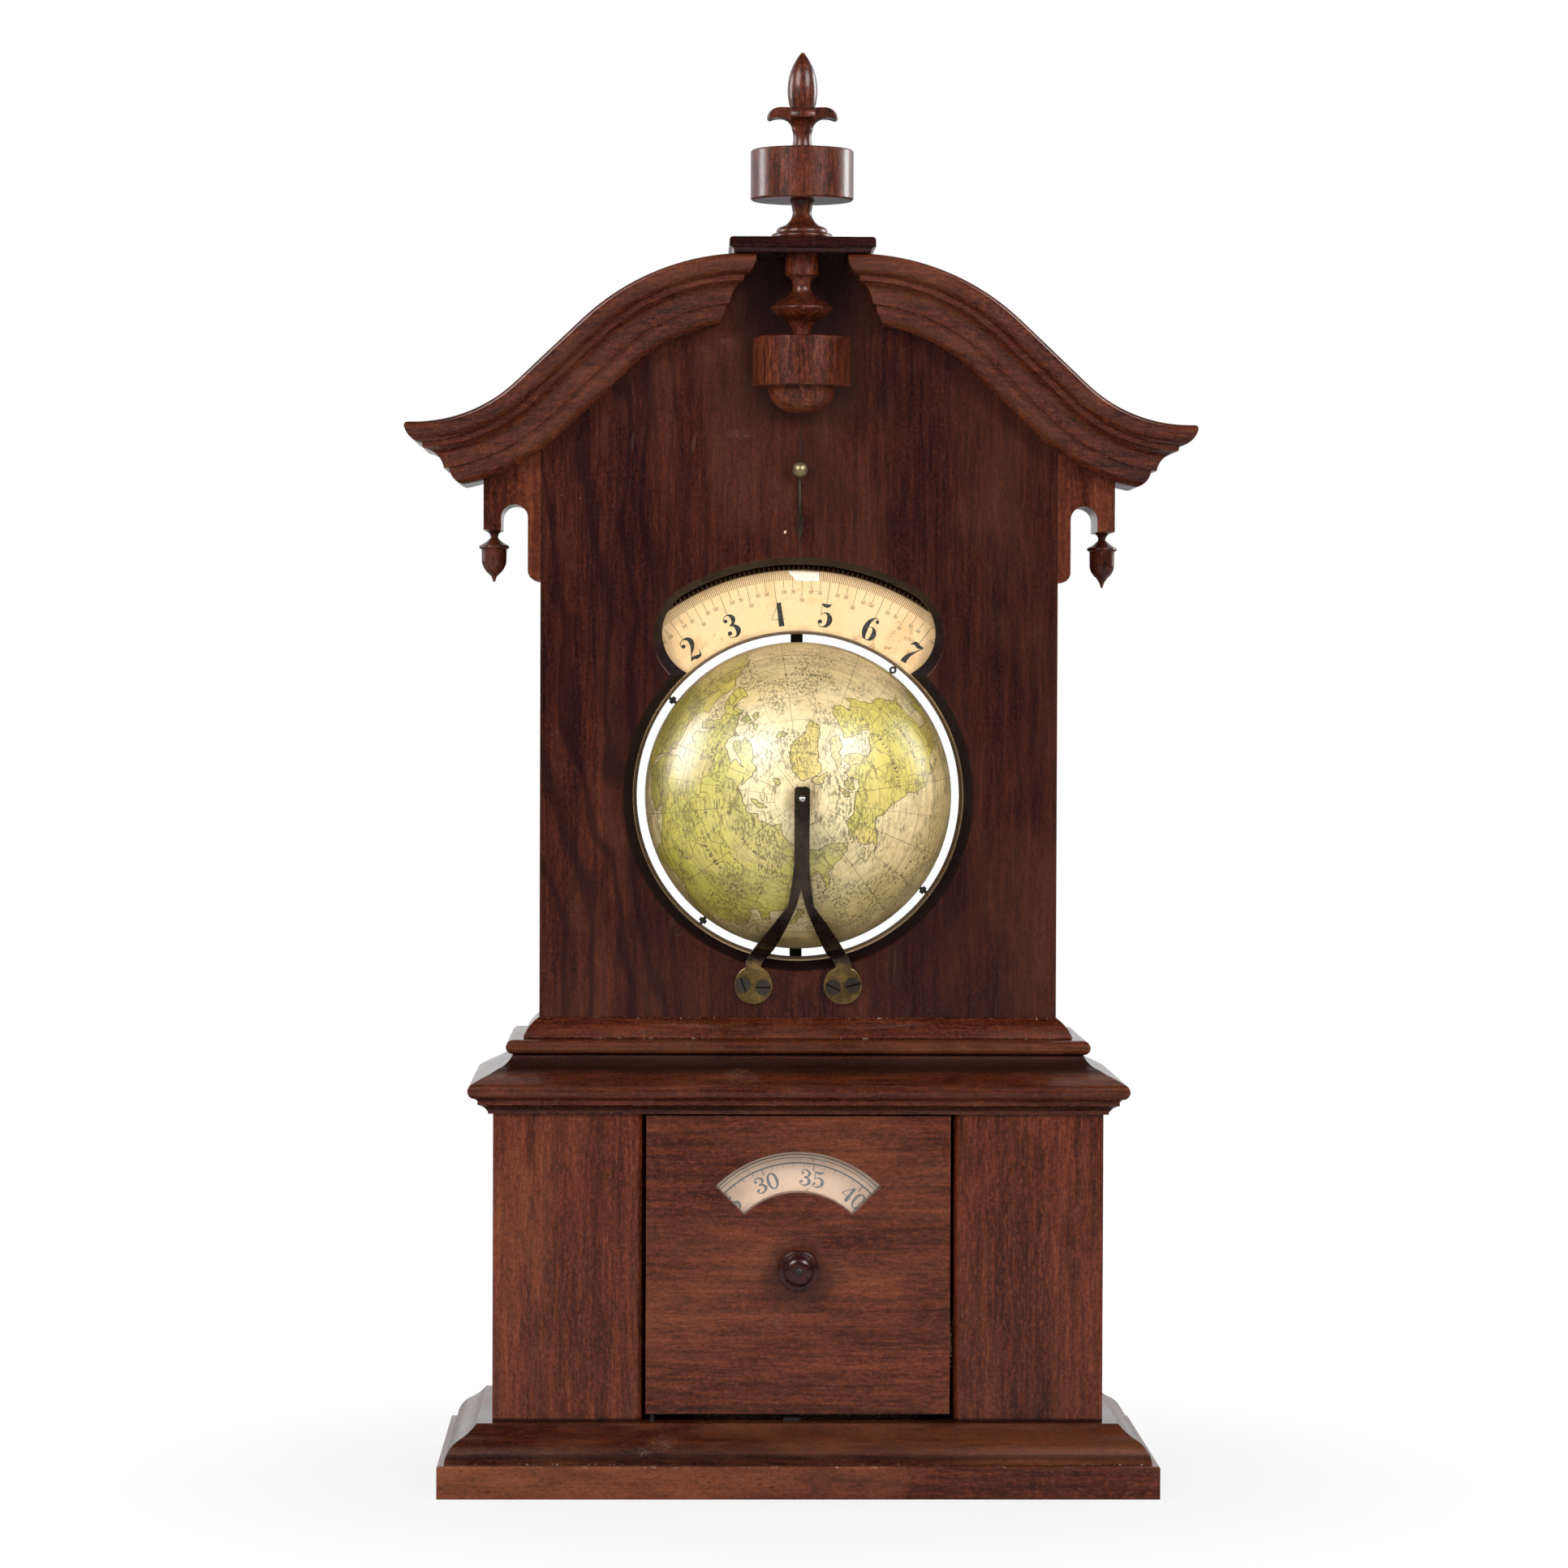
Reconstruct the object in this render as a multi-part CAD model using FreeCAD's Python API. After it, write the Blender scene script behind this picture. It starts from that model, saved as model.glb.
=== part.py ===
import FreeCAD, Part
import math
import os

# A walnut mantel clock in which a small terrestrial globe turns once a day.
# The globe carries a 24-hour ring, and a toothed rim on that ring is driven by
# a leading-off train from a spring movement in the base, whose minute disc
# shows through the door.  Millimetres, +Z up, -Y is the front.  The origin is
# on the underside of the plinth, below the middle of the upper case.

V = FreeCAD.Vector
SIN = lambda angle: math.sin(math.radians(angle))
COS = lambda angle: math.cos(math.radians(angle))
BACKWARD = V(0, 1, 0)
UPWARD = V(0, 0, 1)

# ---------------------------------------------------------------- dimensions
# Levels, from the floor up
SLAB_TOP = 16.0
LEDGE_Z = 34.2
BODY_TOP = 185.6
WAIST_TOP = 214.1
DECK_TOP = 221.2
FOOT_TOP = 231.7
APEX_Z = 606.7
CAP_TOP = 614.2

# Plans: half widths, and the planes of the fronts and backs.  The base reaches
# back under the rear half of the globe.
SLAB_X, SLAB_FRONT, SLAB_BACK = 176.2, -75.5, 102.5
BODY_X, BODY_FRONT, BODY_BACK = 150.0, -47.5, 74.5
CASE_X = 128.0
EAR_X = 156.2
FACE_Y = -24.5
BACK_Y = 24.5
EAR_BACK_Y = 15.5
BOARD = 10.0
BACK_BOARD = 8.0

# Globe, hour ring and the openings they show through
GLOBE_R = 76.2
GLOBE_Y = -11.5
GLOBE_Z = 341.4
RING_IN, RING_OUT = 80.2, 112.3
PAPER_IN = 81.3
HOLE_R = 82.2
BACK_HOLE_R = 86.0
WINDOW_R = 114.7
WINDOW_END_R = 22.1
WINDOW_END_ANGLE = 29.6
BEVEL = 5.0

# Crown curve: a hill and a valley joined by a straight slope
HILL_X, HILL_R = 26.2, 117.5
SLOPE = 43.5
SLOPE_RUN = 44.7
VALLEY_R = 72.0
CORNICE_OUT, CORNICE_DEEP = 37.4, 32.4
GAP_FRONT, GAP_FACE = 22.3, 48.2

# Door and stiles
DOOR_X = 74.8
DOOR_Z0, DOOR_Z1 = 37.8, 184.7
DOOR_THICK = 12.0
STILE_IN = 76.4
HINGE_X, HINGE_Y = -71.6, -44.3
HINGE_R = 1.25
MINUTE_Z = 109.4

# Gearing: the ring is geared 24 to 1, the mitre pairs 1 to 1, the wheels 8 to 1
RING_TEETH, RING_MODULE = 288, 0.7875
PINION_LEAVES = 12
MITRE_TEETH, MITRE_R = 16, 6.4
WHEEL_TEETH, WHEEL_LEAVES, WHEEL_MODULE = 64, 8, 0.9
WELL_X, WELL_Y = 13.2, 11.0
RUN = 0.05          # radial running clearance of a pivot in its hole
PINION_Z = GLOBE_Z - RING_MODULE * (RING_TEETH + PINION_LEAVES) / 2 - 0.1
PINION_Y0, PINION_Y1 = -11.2, -8.2
MITRE_Y = -6.5      # plane of the large ends of the mitre gears on the arbors
ROD_Y = MITRE_Y + MITRE_R

# Movement between its plates
PLATE_FRONT, PLATE_BACK = -28.5, -9.0
PLATE = 2.0
MESH = WHEEL_MODULE * (WHEEL_TEETH + WHEEL_LEAVES) / 2 + 0.05
BARREL_AT = (50.0, 68.0)
BARREL_ANGLE = math.degrees(math.atan2(BARREL_AT[1] - MINUTE_Z, BARREL_AT[0]))
SECOND_AT = (MESH * COS(BARREL_ANGLE), MINUTE_Z + MESH * SIN(BARREL_ANGLE))
THIRD_ANGLE = 125.0
THIRD_AT = (MESH * COS(THIRD_ANGLE), MINUTE_Z + MESH * SIN(THIRD_ANGLE))
BARREL_AT = (2 * SECOND_AT[0], 2 * SECOND_AT[1] - MINUTE_Z)

# Turned ornaments
TURNED_Y = -50.0
DRUM_R = 25.2
ACORN_X, ACORN_Y, ACORN_Z = 151.6, -2.5, 472.5


# ------------------------------------------------------------------- helpers
def wire(start, steps, place):
    """A closed wire.  A step is a point, or (middle, end) for an arc."""
    edges = []
    here = start
    for step in list(steps) + [start]:
        arc = isinstance(step[0], tuple)
        end = step[1] if arc else step
        if arc:
            edges.append(Part.Arc(place(here), place(step[0]), place(end)).toShape())
        elif math.dist(here, end) > 1e-6:
            edges.append(Part.LineSegment(place(here), place(end)).toShape())
        here = end
    return Part.Wire(edges)


def face_on(start, steps, place):
    return Part.Face(wire(start, steps, place))


def upright(start, steps, y0, y1):
    """A plate drawn in X and Z, from y0 back to y1."""
    face = face_on(start, steps, lambda p: V(p[0], y0, p[1]))
    return face.extrude(V(0, y1 - y0, 0))


def level(start, steps, z0, z1):
    """A plate drawn in X and Y, from z0 up to z1."""
    face = face_on(start, steps, lambda p: V(p[0], p[1], z0))
    return face.extrude(V(0, 0, z1 - z0))


def turned(x, y, start, steps):
    """A piece turned about a vertical axis, drawn as radius and height."""
    face = face_on(start, steps, lambda p: V(x + p[0], y, p[1]))
    return face.revolve(V(x, y, 0), V(0, 0, 1), 360)


def turned_level(x, z, start, steps):
    """A piece turned about an axis along Y, drawn as radius and Y."""
    face = face_on(start, steps, lambda p: V(x + p[0], p[1], z))
    return face.revolve(V(x, 0, z), V(0, 1, 0), 360)


def box(x0, x1, y0, y1, z0, z1):
    return Part.makeBox(x1 - x0, y1 - y0, z1 - z0, V(x0, y0, z0))


def rod_y(r, x, z, y0, y1):
    return Part.makeCylinder(r, y1 - y0, V(x, y0, z), V(0, 1, 0))


def rod_z(r, x, y, z0, z1):
    return Part.makeCylinder(r, z1 - z0, V(x, y, z0), V(0, 0, 1))


def mirrored(shape):
    return shape.mirror(V(0, 0, 0), V(1, 0, 0))


def joined(first, *others):
    return first.fuse(list(others)).removeSplitter()


def save(shape, name):
    shape.exportStep("parts/" + name + ".step")


def moulded_board(half_x, front, back, start, steps):
    """A board whose four edges carry one moulding, mitred at the corners.

    The moulding is drawn as distance out from the plain board, and height.
    """
    def prism(half, place, along):
        right = [start] + list(steps)
        left = []
        here = [step[1] if isinstance(step[0], tuple) else step for step in right]
        for i in range(len(right) - 1, 0, -1):
            back_to = (-half - here[i - 1][0], here[i - 1][1])
            if isinstance(right[i][0], tuple):
                left.append(((-half - right[i][0][0], right[i][0][1]), back_to))
            else:
                left.append(back_to)
        shifted = []
        for step in right[1:]:
            if isinstance(step[0], tuple):
                shifted.append(((half + step[0][0], step[0][1]), (half + step[1][0], step[1][1])))
            else:
                shifted.append((half + step[0], step[1]))
        top_left = (-half - here[-1][0], here[-1][1])
        first = (half + start[0], start[1])
        return face_on(first, shifted + [top_left] + left, place).extrude(along)

    middle = (front + back) / 2
    deep = prism(half_x, lambda p: V(p[0], -200, p[1]), V(0, 400, 0))
    wide = prism(back - middle, lambda p: V(-300, middle + p[0], p[1]), V(600, 0, 0))
    return deep.common(wide)


# -------------------------------------------------------------- crown curve
HILL = (HILL_X, APEX_Z - HILL_R)
VALLEY = (
    HILL_X + (HILL_R + VALLEY_R) * SIN(SLOPE) + SLOPE_RUN * COS(SLOPE),
    HILL[1] + (HILL_R + VALLEY_R) * COS(SLOPE) - SLOPE_RUN * SIN(SLOPE),
)


def on_hill(down, angle):
    r = HILL_R - down
    return (HILL[0] + r * SIN(angle), HILL[1] + r * COS(angle))


def in_valley(down, angle):
    r = VALLEY_R + down
    return (VALLEY[0] - r * SIN(angle), VALLEY[1] - r * COS(angle))


def flip(point):
    return (-point[0], point[1])


def mirrored_steps(steps):
    """The steps of a half outline run back in mirror, from its last point to its first."""
    back = []
    for here, before in zip(steps[::-1], steps[-2::-1]):
        end = before[1] if isinstance(before[0], tuple) else before
        if isinstance(here[0], tuple):
            back.append((flip(here[0]), flip(end)))
        else:
            back.append(flip(end))
    return back


def sky(down):
    """Everything above a curve that runs `down` below the crown."""
    wide, high = 230.0, 760.0
    steps = [
        (on_hill(down, SLOPE / 2), on_hill(down, SLOPE)),
        in_valley(down, SLOPE),
        (in_valley(down, SLOPE / 2), in_valley(down, 0)),
        (wide, in_valley(down, 0)[1]),
        (wide, high),
        (-wide, high),
        (-wide, in_valley(down, 0)[1]),
        flip(in_valley(down, 0)),
        (flip(in_valley(down, SLOPE / 2)), flip(in_valley(down, SLOPE))),
        flip(on_hill(down, SLOPE)),
        (flip(on_hill(down, SLOPE / 2)), flip(on_hill(down, 0))),
    ]
    return upright(on_hill(down, 0), steps, -120, 120)


# ------------------------------------------------------------------- plinth
def plinth_slab():
    slab = box(-SLAB_X, SLAB_X, SLAB_FRONT, SLAB_BACK, 0, SLAB_TOP)
    upper = [e for e in slab.Edges if e.BoundBox.ZMin > SLAB_TOP - 0.1]
    return slab.makeFillet(1.0, upper)


def plinth_moulding():
    """Cyma moulded board: hollow above, round below, under a flat ledge."""
    return moulded_board(BODY_X, BODY_FRONT, BODY_BACK, (22.8, SLAB_TOP), [
        ((21.0, 22.0), (15.6, 27.3)),
        ((10.6, 30.7), (7.4, LEDGE_Z)),
    ])


# ---------------------------------------------------------------- base body
def stile():
    """Front stile, rounded where it meets the door opening."""
    round_r = 5.0
    corner = round_r * (1 - COS(45))
    return level((STILE_IN, BODY_FRONT + BOARD), [
        (STILE_IN, BODY_FRONT + round_r),
        ((STILE_IN + corner, BODY_FRONT + corner), (STILE_IN + round_r, BODY_FRONT)),
        (BODY_X, BODY_FRONT),
        (BODY_X, BODY_FRONT + BOARD),
    ], LEDGE_Z, BODY_TOP)


def base_sides():
    side = box(BODY_X - BOARD, BODY_X, BODY_FRONT + BOARD, BODY_BACK - BOARD, LEDGE_Z, BODY_TOP)
    return Part.makeCompound([side, mirrored(side)])


def base_back():
    return box(-BODY_X, BODY_X, BODY_BACK - BOARD, BODY_BACK, LEDGE_Z, BODY_TOP)


def waist_moulding():
    """Fillet, hollow, nose and a long ogee up to the deck, with a well for the rod."""
    board = moulded_board(BODY_X, BODY_FRONT, BODY_BACK, (2.4, BODY_TOP), [
        (2.4, 186.4),
        ((4.0, 188.6), (7.4, 190.3)),
        (7.4, 192.2),
        (8.6, 193.3),
        ((12.2, 197.0), (9.8, 200.8)),
        ((6.0, 202.9), (1.6, 205.0)),
        (-2.4, 207.3),
        ((-6.8, 210.2), (-9.4, WAIST_TOP)),
    ])
    return board.cut(box(-WELL_X, WELL_X, FACE_Y + BOARD, WELL_Y, BODY_TOP - 1, WAIST_TOP + 1))


def waist_plate():
    """Deck of the base: a board with a rounded nose, slotted for the upper gearing."""
    nose = (DECK_TOP - WAIST_TOP) / 2
    inset = 6.0 + nose
    board = moulded_board(BODY_X - inset, BODY_FRONT + inset, BODY_BACK - inset, (0, WAIST_TOP), [
        ((nose, WAIST_TOP + nose), (0, DECK_TOP)),
    ])
    return board.cut(box(-WELL_X, WELL_X, FACE_Y + BOARD, WELL_Y, WAIST_TOP - 1, DECK_TOP + 1))


def foot_moulding():
    """Quarter round at the foot of the upper case: four strips with mitred ends."""
    frame = moulded_board(CASE_X, FACE_Y, BACK_Y, (7.2, DECK_TOP), [
        (7.8, DECK_TOP + 0.8),
        ((5.2, DECK_TOP + 5.6), (0, FOOT_TOP)),
    ])
    far = 20.0
    corners = [(CASE_X, BACK_Y), (-CASE_X, BACK_Y), (-CASE_X, FACE_Y), (CASE_X, FACE_Y)]
    strips = []
    for a, b in zip(corners, corners[1:] + corners[:1]):
        out_a = (a[0] + math.copysign(far, a[0]), a[1] + math.copysign(far, a[1]))
        out_b = (b[0] + math.copysign(far, b[0]), b[1] + math.copysign(far, b[1]))
        wedge = level(a, [out_a, out_b, b], DECK_TOP - 1, FOOT_TOP + 1)
        strips.append(frame.common(wedge))
    return Part.makeCompound(strips)


# --------------------------------------------------------------- upper case
def window_outline(grow):
    """Outline of the hour window, `grow` outside its own edge, about the globe axis."""
    r = WINDOW_R + 0.7 * grow
    end_r = WINDOW_END_R + grow
    reach = r - end_r
    centre = (reach * SIN(WINDOW_END_ANGLE), reach * COS(WINDOW_END_ANGLE))
    flank = 59.2        # lean of the short flank that runs into the globe hole
    out = (centre[0] + end_r * COS(flank), centre[1] - end_r * SIN(flank))
    run = 8.0
    foot = (out[0] - run * SIN(flank), out[1] - run * COS(flank))
    side = (90 - WINDOW_END_ANGLE - flank) / 2
    middle = (centre[0] + end_r * COS(side), centre[1] + end_r * SIN(side))
    top = (r * SIN(WINDOW_END_ANGLE), r * COS(WINDOW_END_ANGLE))
    return foot, [
        out,
        (middle, top),
        ((0, r), flip(top)),
        (flip(middle), flip(out)),
        flip(foot),
        (0, 40),
    ]


def raised(outline):
    start, steps = outline
    lift = lambda p: (p[0], p[1] + GLOBE_Z)
    moved = [(lift(s[0]), lift(s[1])) if isinstance(s[0], tuple) else lift(s) for s in steps]
    return lift(start), moved


def front_board():
    """Face board: round globe hole and hour window, with one bevel round both."""
    board = box(-CASE_X, CASE_X, FACE_Y, FACE_Y + BOARD, DECK_TOP, APEX_Z + 1)
    board = board.cut(sky(0))
    inside = FACE_Y + BOARD + 1
    board = board.cut(rod_y(HOLE_R, 0, GLOBE_Z, FACE_Y - 1, inside))
    board = board.cut(upright(*raised(window_outline(0)), FACE_Y - 1, inside))
    cone = Part.makeCone(HOLE_R + BEVEL, HOLE_R, BEVEL, V(0, FACE_Y, GLOBE_Z), V(0, 1, 0))
    board = board.cut(cone)
    outer = wire(*raised(window_outline(BEVEL)), lambda p: V(p[0], FACE_Y, p[1]))
    inner = wire(*raised(window_outline(0)), lambda p: V(p[0], FACE_Y + BEVEL, p[1]))
    board = board.cut(Part.makeLoft([outer, inner], True, True))
    return board.cut(rod_y(1.5, 0, POINTER_Z, FACE_Y - 1, FACE_Y + 8))


def back_board():
    """Back board with a round hole for the rear of the globe."""
    board = box(-CASE_X, CASE_X, BACK_Y - BACK_BOARD, BACK_Y, DECK_TOP, APEX_Z + 1)
    board = board.cut(sky(0))
    board = board.cut(rod_y(BACK_HOLE_R, 0, GLOBE_Z, 0, BACK_Y + 1))
    for z in (GLOBE_Z - BOW_SCREW_R, GLOBE_Z + BOW_SCREW_R):
        board = board.cut(rod_y(1.4, 0, z, BACK_Y - 6, BACK_Y + 1))
    return board


def case_sides():
    side = box(CASE_X - BOARD, CASE_X, FACE_Y + BOARD, BACK_Y - BACK_BOARD, DECK_TOP, APEX_Z)
    side = side.cut(sky(BOARD))
    return Part.makeCompound([side, mirrored(side)])


def roof_board():
    """Bent board that closes the case under the crown curve."""
    block = box(-CASE_X, CASE_X, FACE_Y + BOARD, BACK_Y - BACK_BOARD, 500, APEX_Z + 1)
    return block.cut(sky(0)).cut(block.cut(sky(BOARD)))


# ------------------------------------------------- cornice, ears and drops
def cornice():
    """Right half of the cornice: one moulding swept over hill, slope and valley.

    It is mitred at the ear, where it returns along the side, and at the gap
    in the middle, where it returns into the face.
    """
    section = wire((0, 0), [
        (35.6, 0),
        ((37.2, 0.9), (37.4, 2.6)),
        ((34.6, 7.4), (29.0, 10.2)),
        (28.6, 12.5),
        ((21.8, 16.5), (18.8, 22.9)),
        (16.4, 23.2),
        ((13.5, 29.4), (9.7, 32.1)),
        (0, CORNICE_DEEP),
    ], lambda p: V(5, FACE_Y - p[0], APEX_Z - p[1]))
    place = lambda p: V(p[0], FACE_Y, p[1])
    tip = (VALLEY[0] + 20, in_valley(0, 0)[1])
    path = Part.Wire([
        Part.LineSegment(place((5, APEX_Z)), place(on_hill(0, 0))).toShape(),
        Part.Arc(*[place(on_hill(0, a)) for a in (0, SLOPE / 2, SLOPE)]).toShape(),
        Part.LineSegment(place(on_hill(0, SLOPE)), place(in_valley(0, SLOPE))).toShape(),
        Part.Arc(*[place(in_valley(0, a)) for a in (SLOPE, SLOPE / 2, 0)]).toShape(),
        Part.LineSegment(place(in_valley(0, 0)), place(tip)).toShape(),
    ])
    run = path.makePipeShell([section], True, False)
    far = 45.0
    lean = (GAP_FACE - GAP_FRONT) / CORNICE_OUT
    keep = level((GAP_FACE, FACE_Y), [
        (GAP_FACE - lean * far, FACE_Y - far),
        (EAR_X + far, FACE_Y - far),
        (EAR_X, FACE_Y),
    ], 400, 700)
    run = run.common(keep)
    pieces = [run]
    for face in run.Faces:
        out = [FACE_Y - v.Y for v in face.Vertexes]
        ear = [abs(v.X - EAR_X - o) for v, o in zip(face.Vertexes, out)]
        gap = [abs(GAP_FACE - lean * o - v.X) for v, o in zip(face.Vertexes, out)]
        if max(ear) < 1e-3:
            back = face.extrude(V(0, 120, 0))
            pieces.append(back.common(box(EAR_X, 260, -120, EAR_BACK_Y, 400, 700)))
        if max(gap) < 1e-3:
            back = face.extrude(V(0, 60, 0))
            pieces.append(back.common(box(0, 260, -120, FACE_Y, 400, 700)))
    return joined(*pieces)


def ear_bracket():
    """Sawn bracket under the end of the cornice: a leg, an arch and a strip."""
    leg_in, strip_out = 147.5, 134.3
    leg_z, strip_z, arch_z = ACORN_Z, 447.2, 485.0
    arch_r = (leg_in - strip_out) / 2
    arch_x = (leg_in + strip_out) / 2
    corner = 5.2
    turn = corner * (1 - COS(45))
    block = upright((CASE_X, strip_z), [
        (strip_out - corner, strip_z),
        ((strip_out - turn, strip_z + turn), (strip_out, strip_z + corner)),
        (strip_out, arch_z - arch_r),
        ((arch_x, arch_z), (leg_in, arch_z - arch_r)),
        (leg_in, leg_z),
        (EAR_X, leg_z),
        (EAR_X, APEX_Z),
        (CASE_X, APEX_Z),
    ], FACE_Y, EAR_BACK_Y)
    return block.cut(sky(0)).cut(rod_z(1.6, ACORN_X, ACORN_Y, leg_z - 1, leg_z + 6))


def acorn_drop(body):
    """Turned acorn: collar, neck and brimmed cup above the given body."""
    z = ACORN_Z
    return turned(ACORN_X, ACORN_Y, (0, z + 5.5), [
        (1.6, z + 5.5),
        (1.6, z),
        (3.3, z),
        (3.3, z - 0.7),
        ((2.1, z - 2.0), (2.0, z - 3.6)),
        ((4.2, z - 5.6), (7.0, z - 7.2)),
        ((7.5, z - 8.0), (7.1, z - 8.8)),
        (6.3, z - 9.3),
    ] + body(z))


def blunt_body(z):
    """Round body with a short nib."""
    return [
        (6.2, z - 15.4),
        ((4.9, z - 18.8), (2.2, z - 21.9)),
        (1.3, z - 22.8),
        (0.5, z - 25.3),
        (0, z - 25.4),
    ]


def pointed_body(z):
    """Tapered body drawn out to a point."""
    return [
        (6.2, z - 16.6),
        ((5.2, z - 19.6), (2.9, z - 22.3)),
        (1.5, z - 24.3),
        (0.9, z - 25.6),
        (0.5, z - 27.2),
        (0, z - 27.3),
    ]


# ------------------------------------------------------ cap, finial, pendant
CORNICE_FRONT = FACE_Y - CORNICE_OUT


def cap_plate():
    """Small moulded shelf that bridges the gap and carries finial and pendant."""
    front = CORNICE_FRONT - 5.0
    board = moulded_board(33.4, front, front + 44.4, (0, APEX_Z), [
        ((0.6, APEX_Z + 1.9), (2.2, APEX_Z + 2.6)),
        (2.2, CAP_TOP - 2.2),
        ((1.6, CAP_TOP - 0.6), (0, CAP_TOP)),
    ])
    return board.cut(rod_z(3.0, 0, TURNED_Y, APEX_Z - 1, CAP_TOP + 1))


def finial():
    """Turned finial: stepped foot, neck, drum, stem, four leaves and a bud."""
    z = CAP_TOP
    drum = z + 43.4
    core = turned(0, TURNED_Y, (0, z - 3.7), [
        (3.0, z - 3.7),
        (3.0, z),
        (14.2, z),
        ((15.0, z + 1.3), (14.2, z + 2.6)),
        (12.6, z + 3.2),
        ((12.0, z + 5.0), (10.0, z + 6.0)),
        ((6.0, z + 9.0), (4.6, z + 13.0)),
        (5.3, z + 17.0),
        (6.2, z + 18.8),
        (DRUM_R - 0.8, z + 18.8),
        (DRUM_R, z + 19.6),
        (DRUM_R, drum - 0.8),
        (DRUM_R - 0.8, drum),
        (5.7, drum + 0.3),
        ((4.4, drum + 5.6), (5.1, drum + 9.9)),
        ((5.6, drum + 14.6), (5.8, drum + 19.6)),
        ((7.3, drum + 30.2), (5.0, drum + 40.6)),
        ((3.1, drum + 44.2), (0.8, drum + 47.5)),
        (0, drum + 47.7),
    ])
    saucer = turned(0, TURNED_Y, (0, drum + 9.9), [
        (5.1, drum + 9.9),
        ((6.0, drum + 12.6), (8.4, drum + 14.6)),
        ((12.6, drum + 15.6), (16.9, drum + 14.6)),
        (17.3, drum + 15.2),
        ((15.9, drum + 19.0), (11.9, drum + 20.5)),
        ((8.8, drum + 20.4), (5.8, drum + 19.6)),
        (0, drum + 19.6),
    ])
    leaf = 5.8          # half width of a leaf
    across = box(-30, 30, TURNED_Y - leaf, TURNED_Y + leaf, drum, drum + 30)
    along = box(-leaf, leaf, TURNED_Y - 30, TURNED_Y + 30, drum, drum + 30)
    return joined(core, saucer.common(across.fuse(along)))


def pendant_drop():
    """Turned pendant: collar, waist, brimmed disc, neck, drum and bowl."""
    z = APEX_Z
    drum = DRUM_R - 1.2
    return turned(0, TURNED_Y, (0, z + 3.7), [
        (3.0, z + 3.7),
        (3.0, z),
        (8.2, z),
        (8.2, z - 9.8),
        (7.4, z - 10.6),
        (6.6, z - 10.8),
        ((4.5, z - 16.0), (6.4, z - 20.0)),
        (8.8, z - 21.6),
        ((11.6, z - 23.0), (13.4, z - 24.6)),
        (14.9, z - 25.6),
        ((15.2, z - 26.4), (14.6, z - 27.2)),
        ((11.4, z - 30.2), (7.2, z - 32.4)),
        (6.4, z - 33.2),
        ((4.6, z - 37.0), (4.2, z - 40.4)),
        (drum - 0.8, z - 40.4),
        (drum, z - 41.0),
        (drum, z - 64.4),
        (16.6, z - 64.4),
        ((12.6, z - 73.6), (4.8, z - 77.2)),
        (0, z - 77.4),
    ])


# -------------------------------------------------------------- hour pointer
POINTER_Z = 502.4


def pointer_pin():
    """Brass ball-headed pin."""
    r = 3.9
    front = FACE_Y - 2.2
    ball = Part.makeSphere(r, V(0, front - 2.2, POINTER_Z))
    ball = ball.cut(box(-9, 9, front, 0, POINTER_Z - 9, POINTER_Z + 9))
    return joined(ball, rod_y(1.45, 0, POINTER_Z, front - 1, FACE_Y + 7))


def hour_pointer():
    """Thin pointer with an eye above and a spear head below."""
    head, neck, tip = POINTER_Z - 24.5, POINTER_Z - 21.5, POINTER_Z - 34.4
    blade = upright((-0.6, POINTER_Z - 2.4), [
        (-0.6, neck),
        ((-1.2, neck - 1.6), (-1.9, head)),
        ((-1.4, head - 4.6), (0, tip)),
        ((1.4, head - 4.6), (1.9, head)),
        ((1.2, neck - 1.6), (0.6, neck)),
        (0.6, POINTER_Z - 2.4),
    ], FACE_Y - 1.5, FACE_Y - 0.4)
    eye = rod_y(3.0, 0, POINTER_Z, FACE_Y - 1.5, FACE_Y - 0.4)
    return joined(blade, eye).cut(rod_y(1.45 + RUN, 0, POINTER_Z, FACE_Y - 3, FACE_Y))


# ---------------------------------------------------------------------- door
def sector(r0, r1, half, y0, y1):
    """Part of a flat ring above the minute arbor, `half` degrees each way."""
    at = lambda r, a: (r * SIN(a), MINUTE_Z + r * COS(a))
    return upright(at(r0, -half), [
        at(r1, -half),
        (at(r1, 0), at(r1, half)),
        at(r0, half),
        (at(r0, 0), at(r0, -half)),
    ], y0, y1)


def door_panel():
    """Flush door with a sector window, rebated behind for its glass."""
    front, back = BODY_FRONT, BODY_FRONT + DOOR_THICK
    door = box(-DOOR_X, DOOR_X, front, back, DOOR_Z0, DOOR_Z1)
    door = door.cut(sector(37.5, 57.5, 45, front - 1, back + 1))
    door = door.cut(sector(34.5, 60.5, 50, back - 2.0, back + 1))
    door = door.cut(rod_z(HINGE_R, HINGE_X, HINGE_Y, DOOR_Z0 - 1, DOOR_Z0 + 9))
    door = door.cut(rod_z(HINGE_R, HINGE_X, HINGE_Y, DOOR_Z1 - 9, DOOR_Z1 + 1))
    door = door.cut(rod_y(1.5, 0, MINUTE_Z, front - 1, back - 2))
    return door


def door_glass():
    back = BODY_FRONT + DOOR_THICK
    return sector(34.7, 60.3, 49.5, back - 2.0, back - 0.5)


def door_knob():
    """Turned knob with a brim and a domed front, bored for its screw."""
    y = BODY_FRONT
    return turned_level(0, MINUTE_Z, (1.5, y), [
        (5.6, y),
        ((4.4, y - 2.6), (5.2, y - 5.6)),
        ((7.4, y - 7.8), (9.8, y - 9.0)),
        ((10.1, y - 9.9), (9.6, y - 10.7)),
        (7.6, y - 11.4),
        ((6.2, y - 13.6), (3.0, y - 14.6)),
        (1.5, y - 14.6),
    ])


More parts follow.
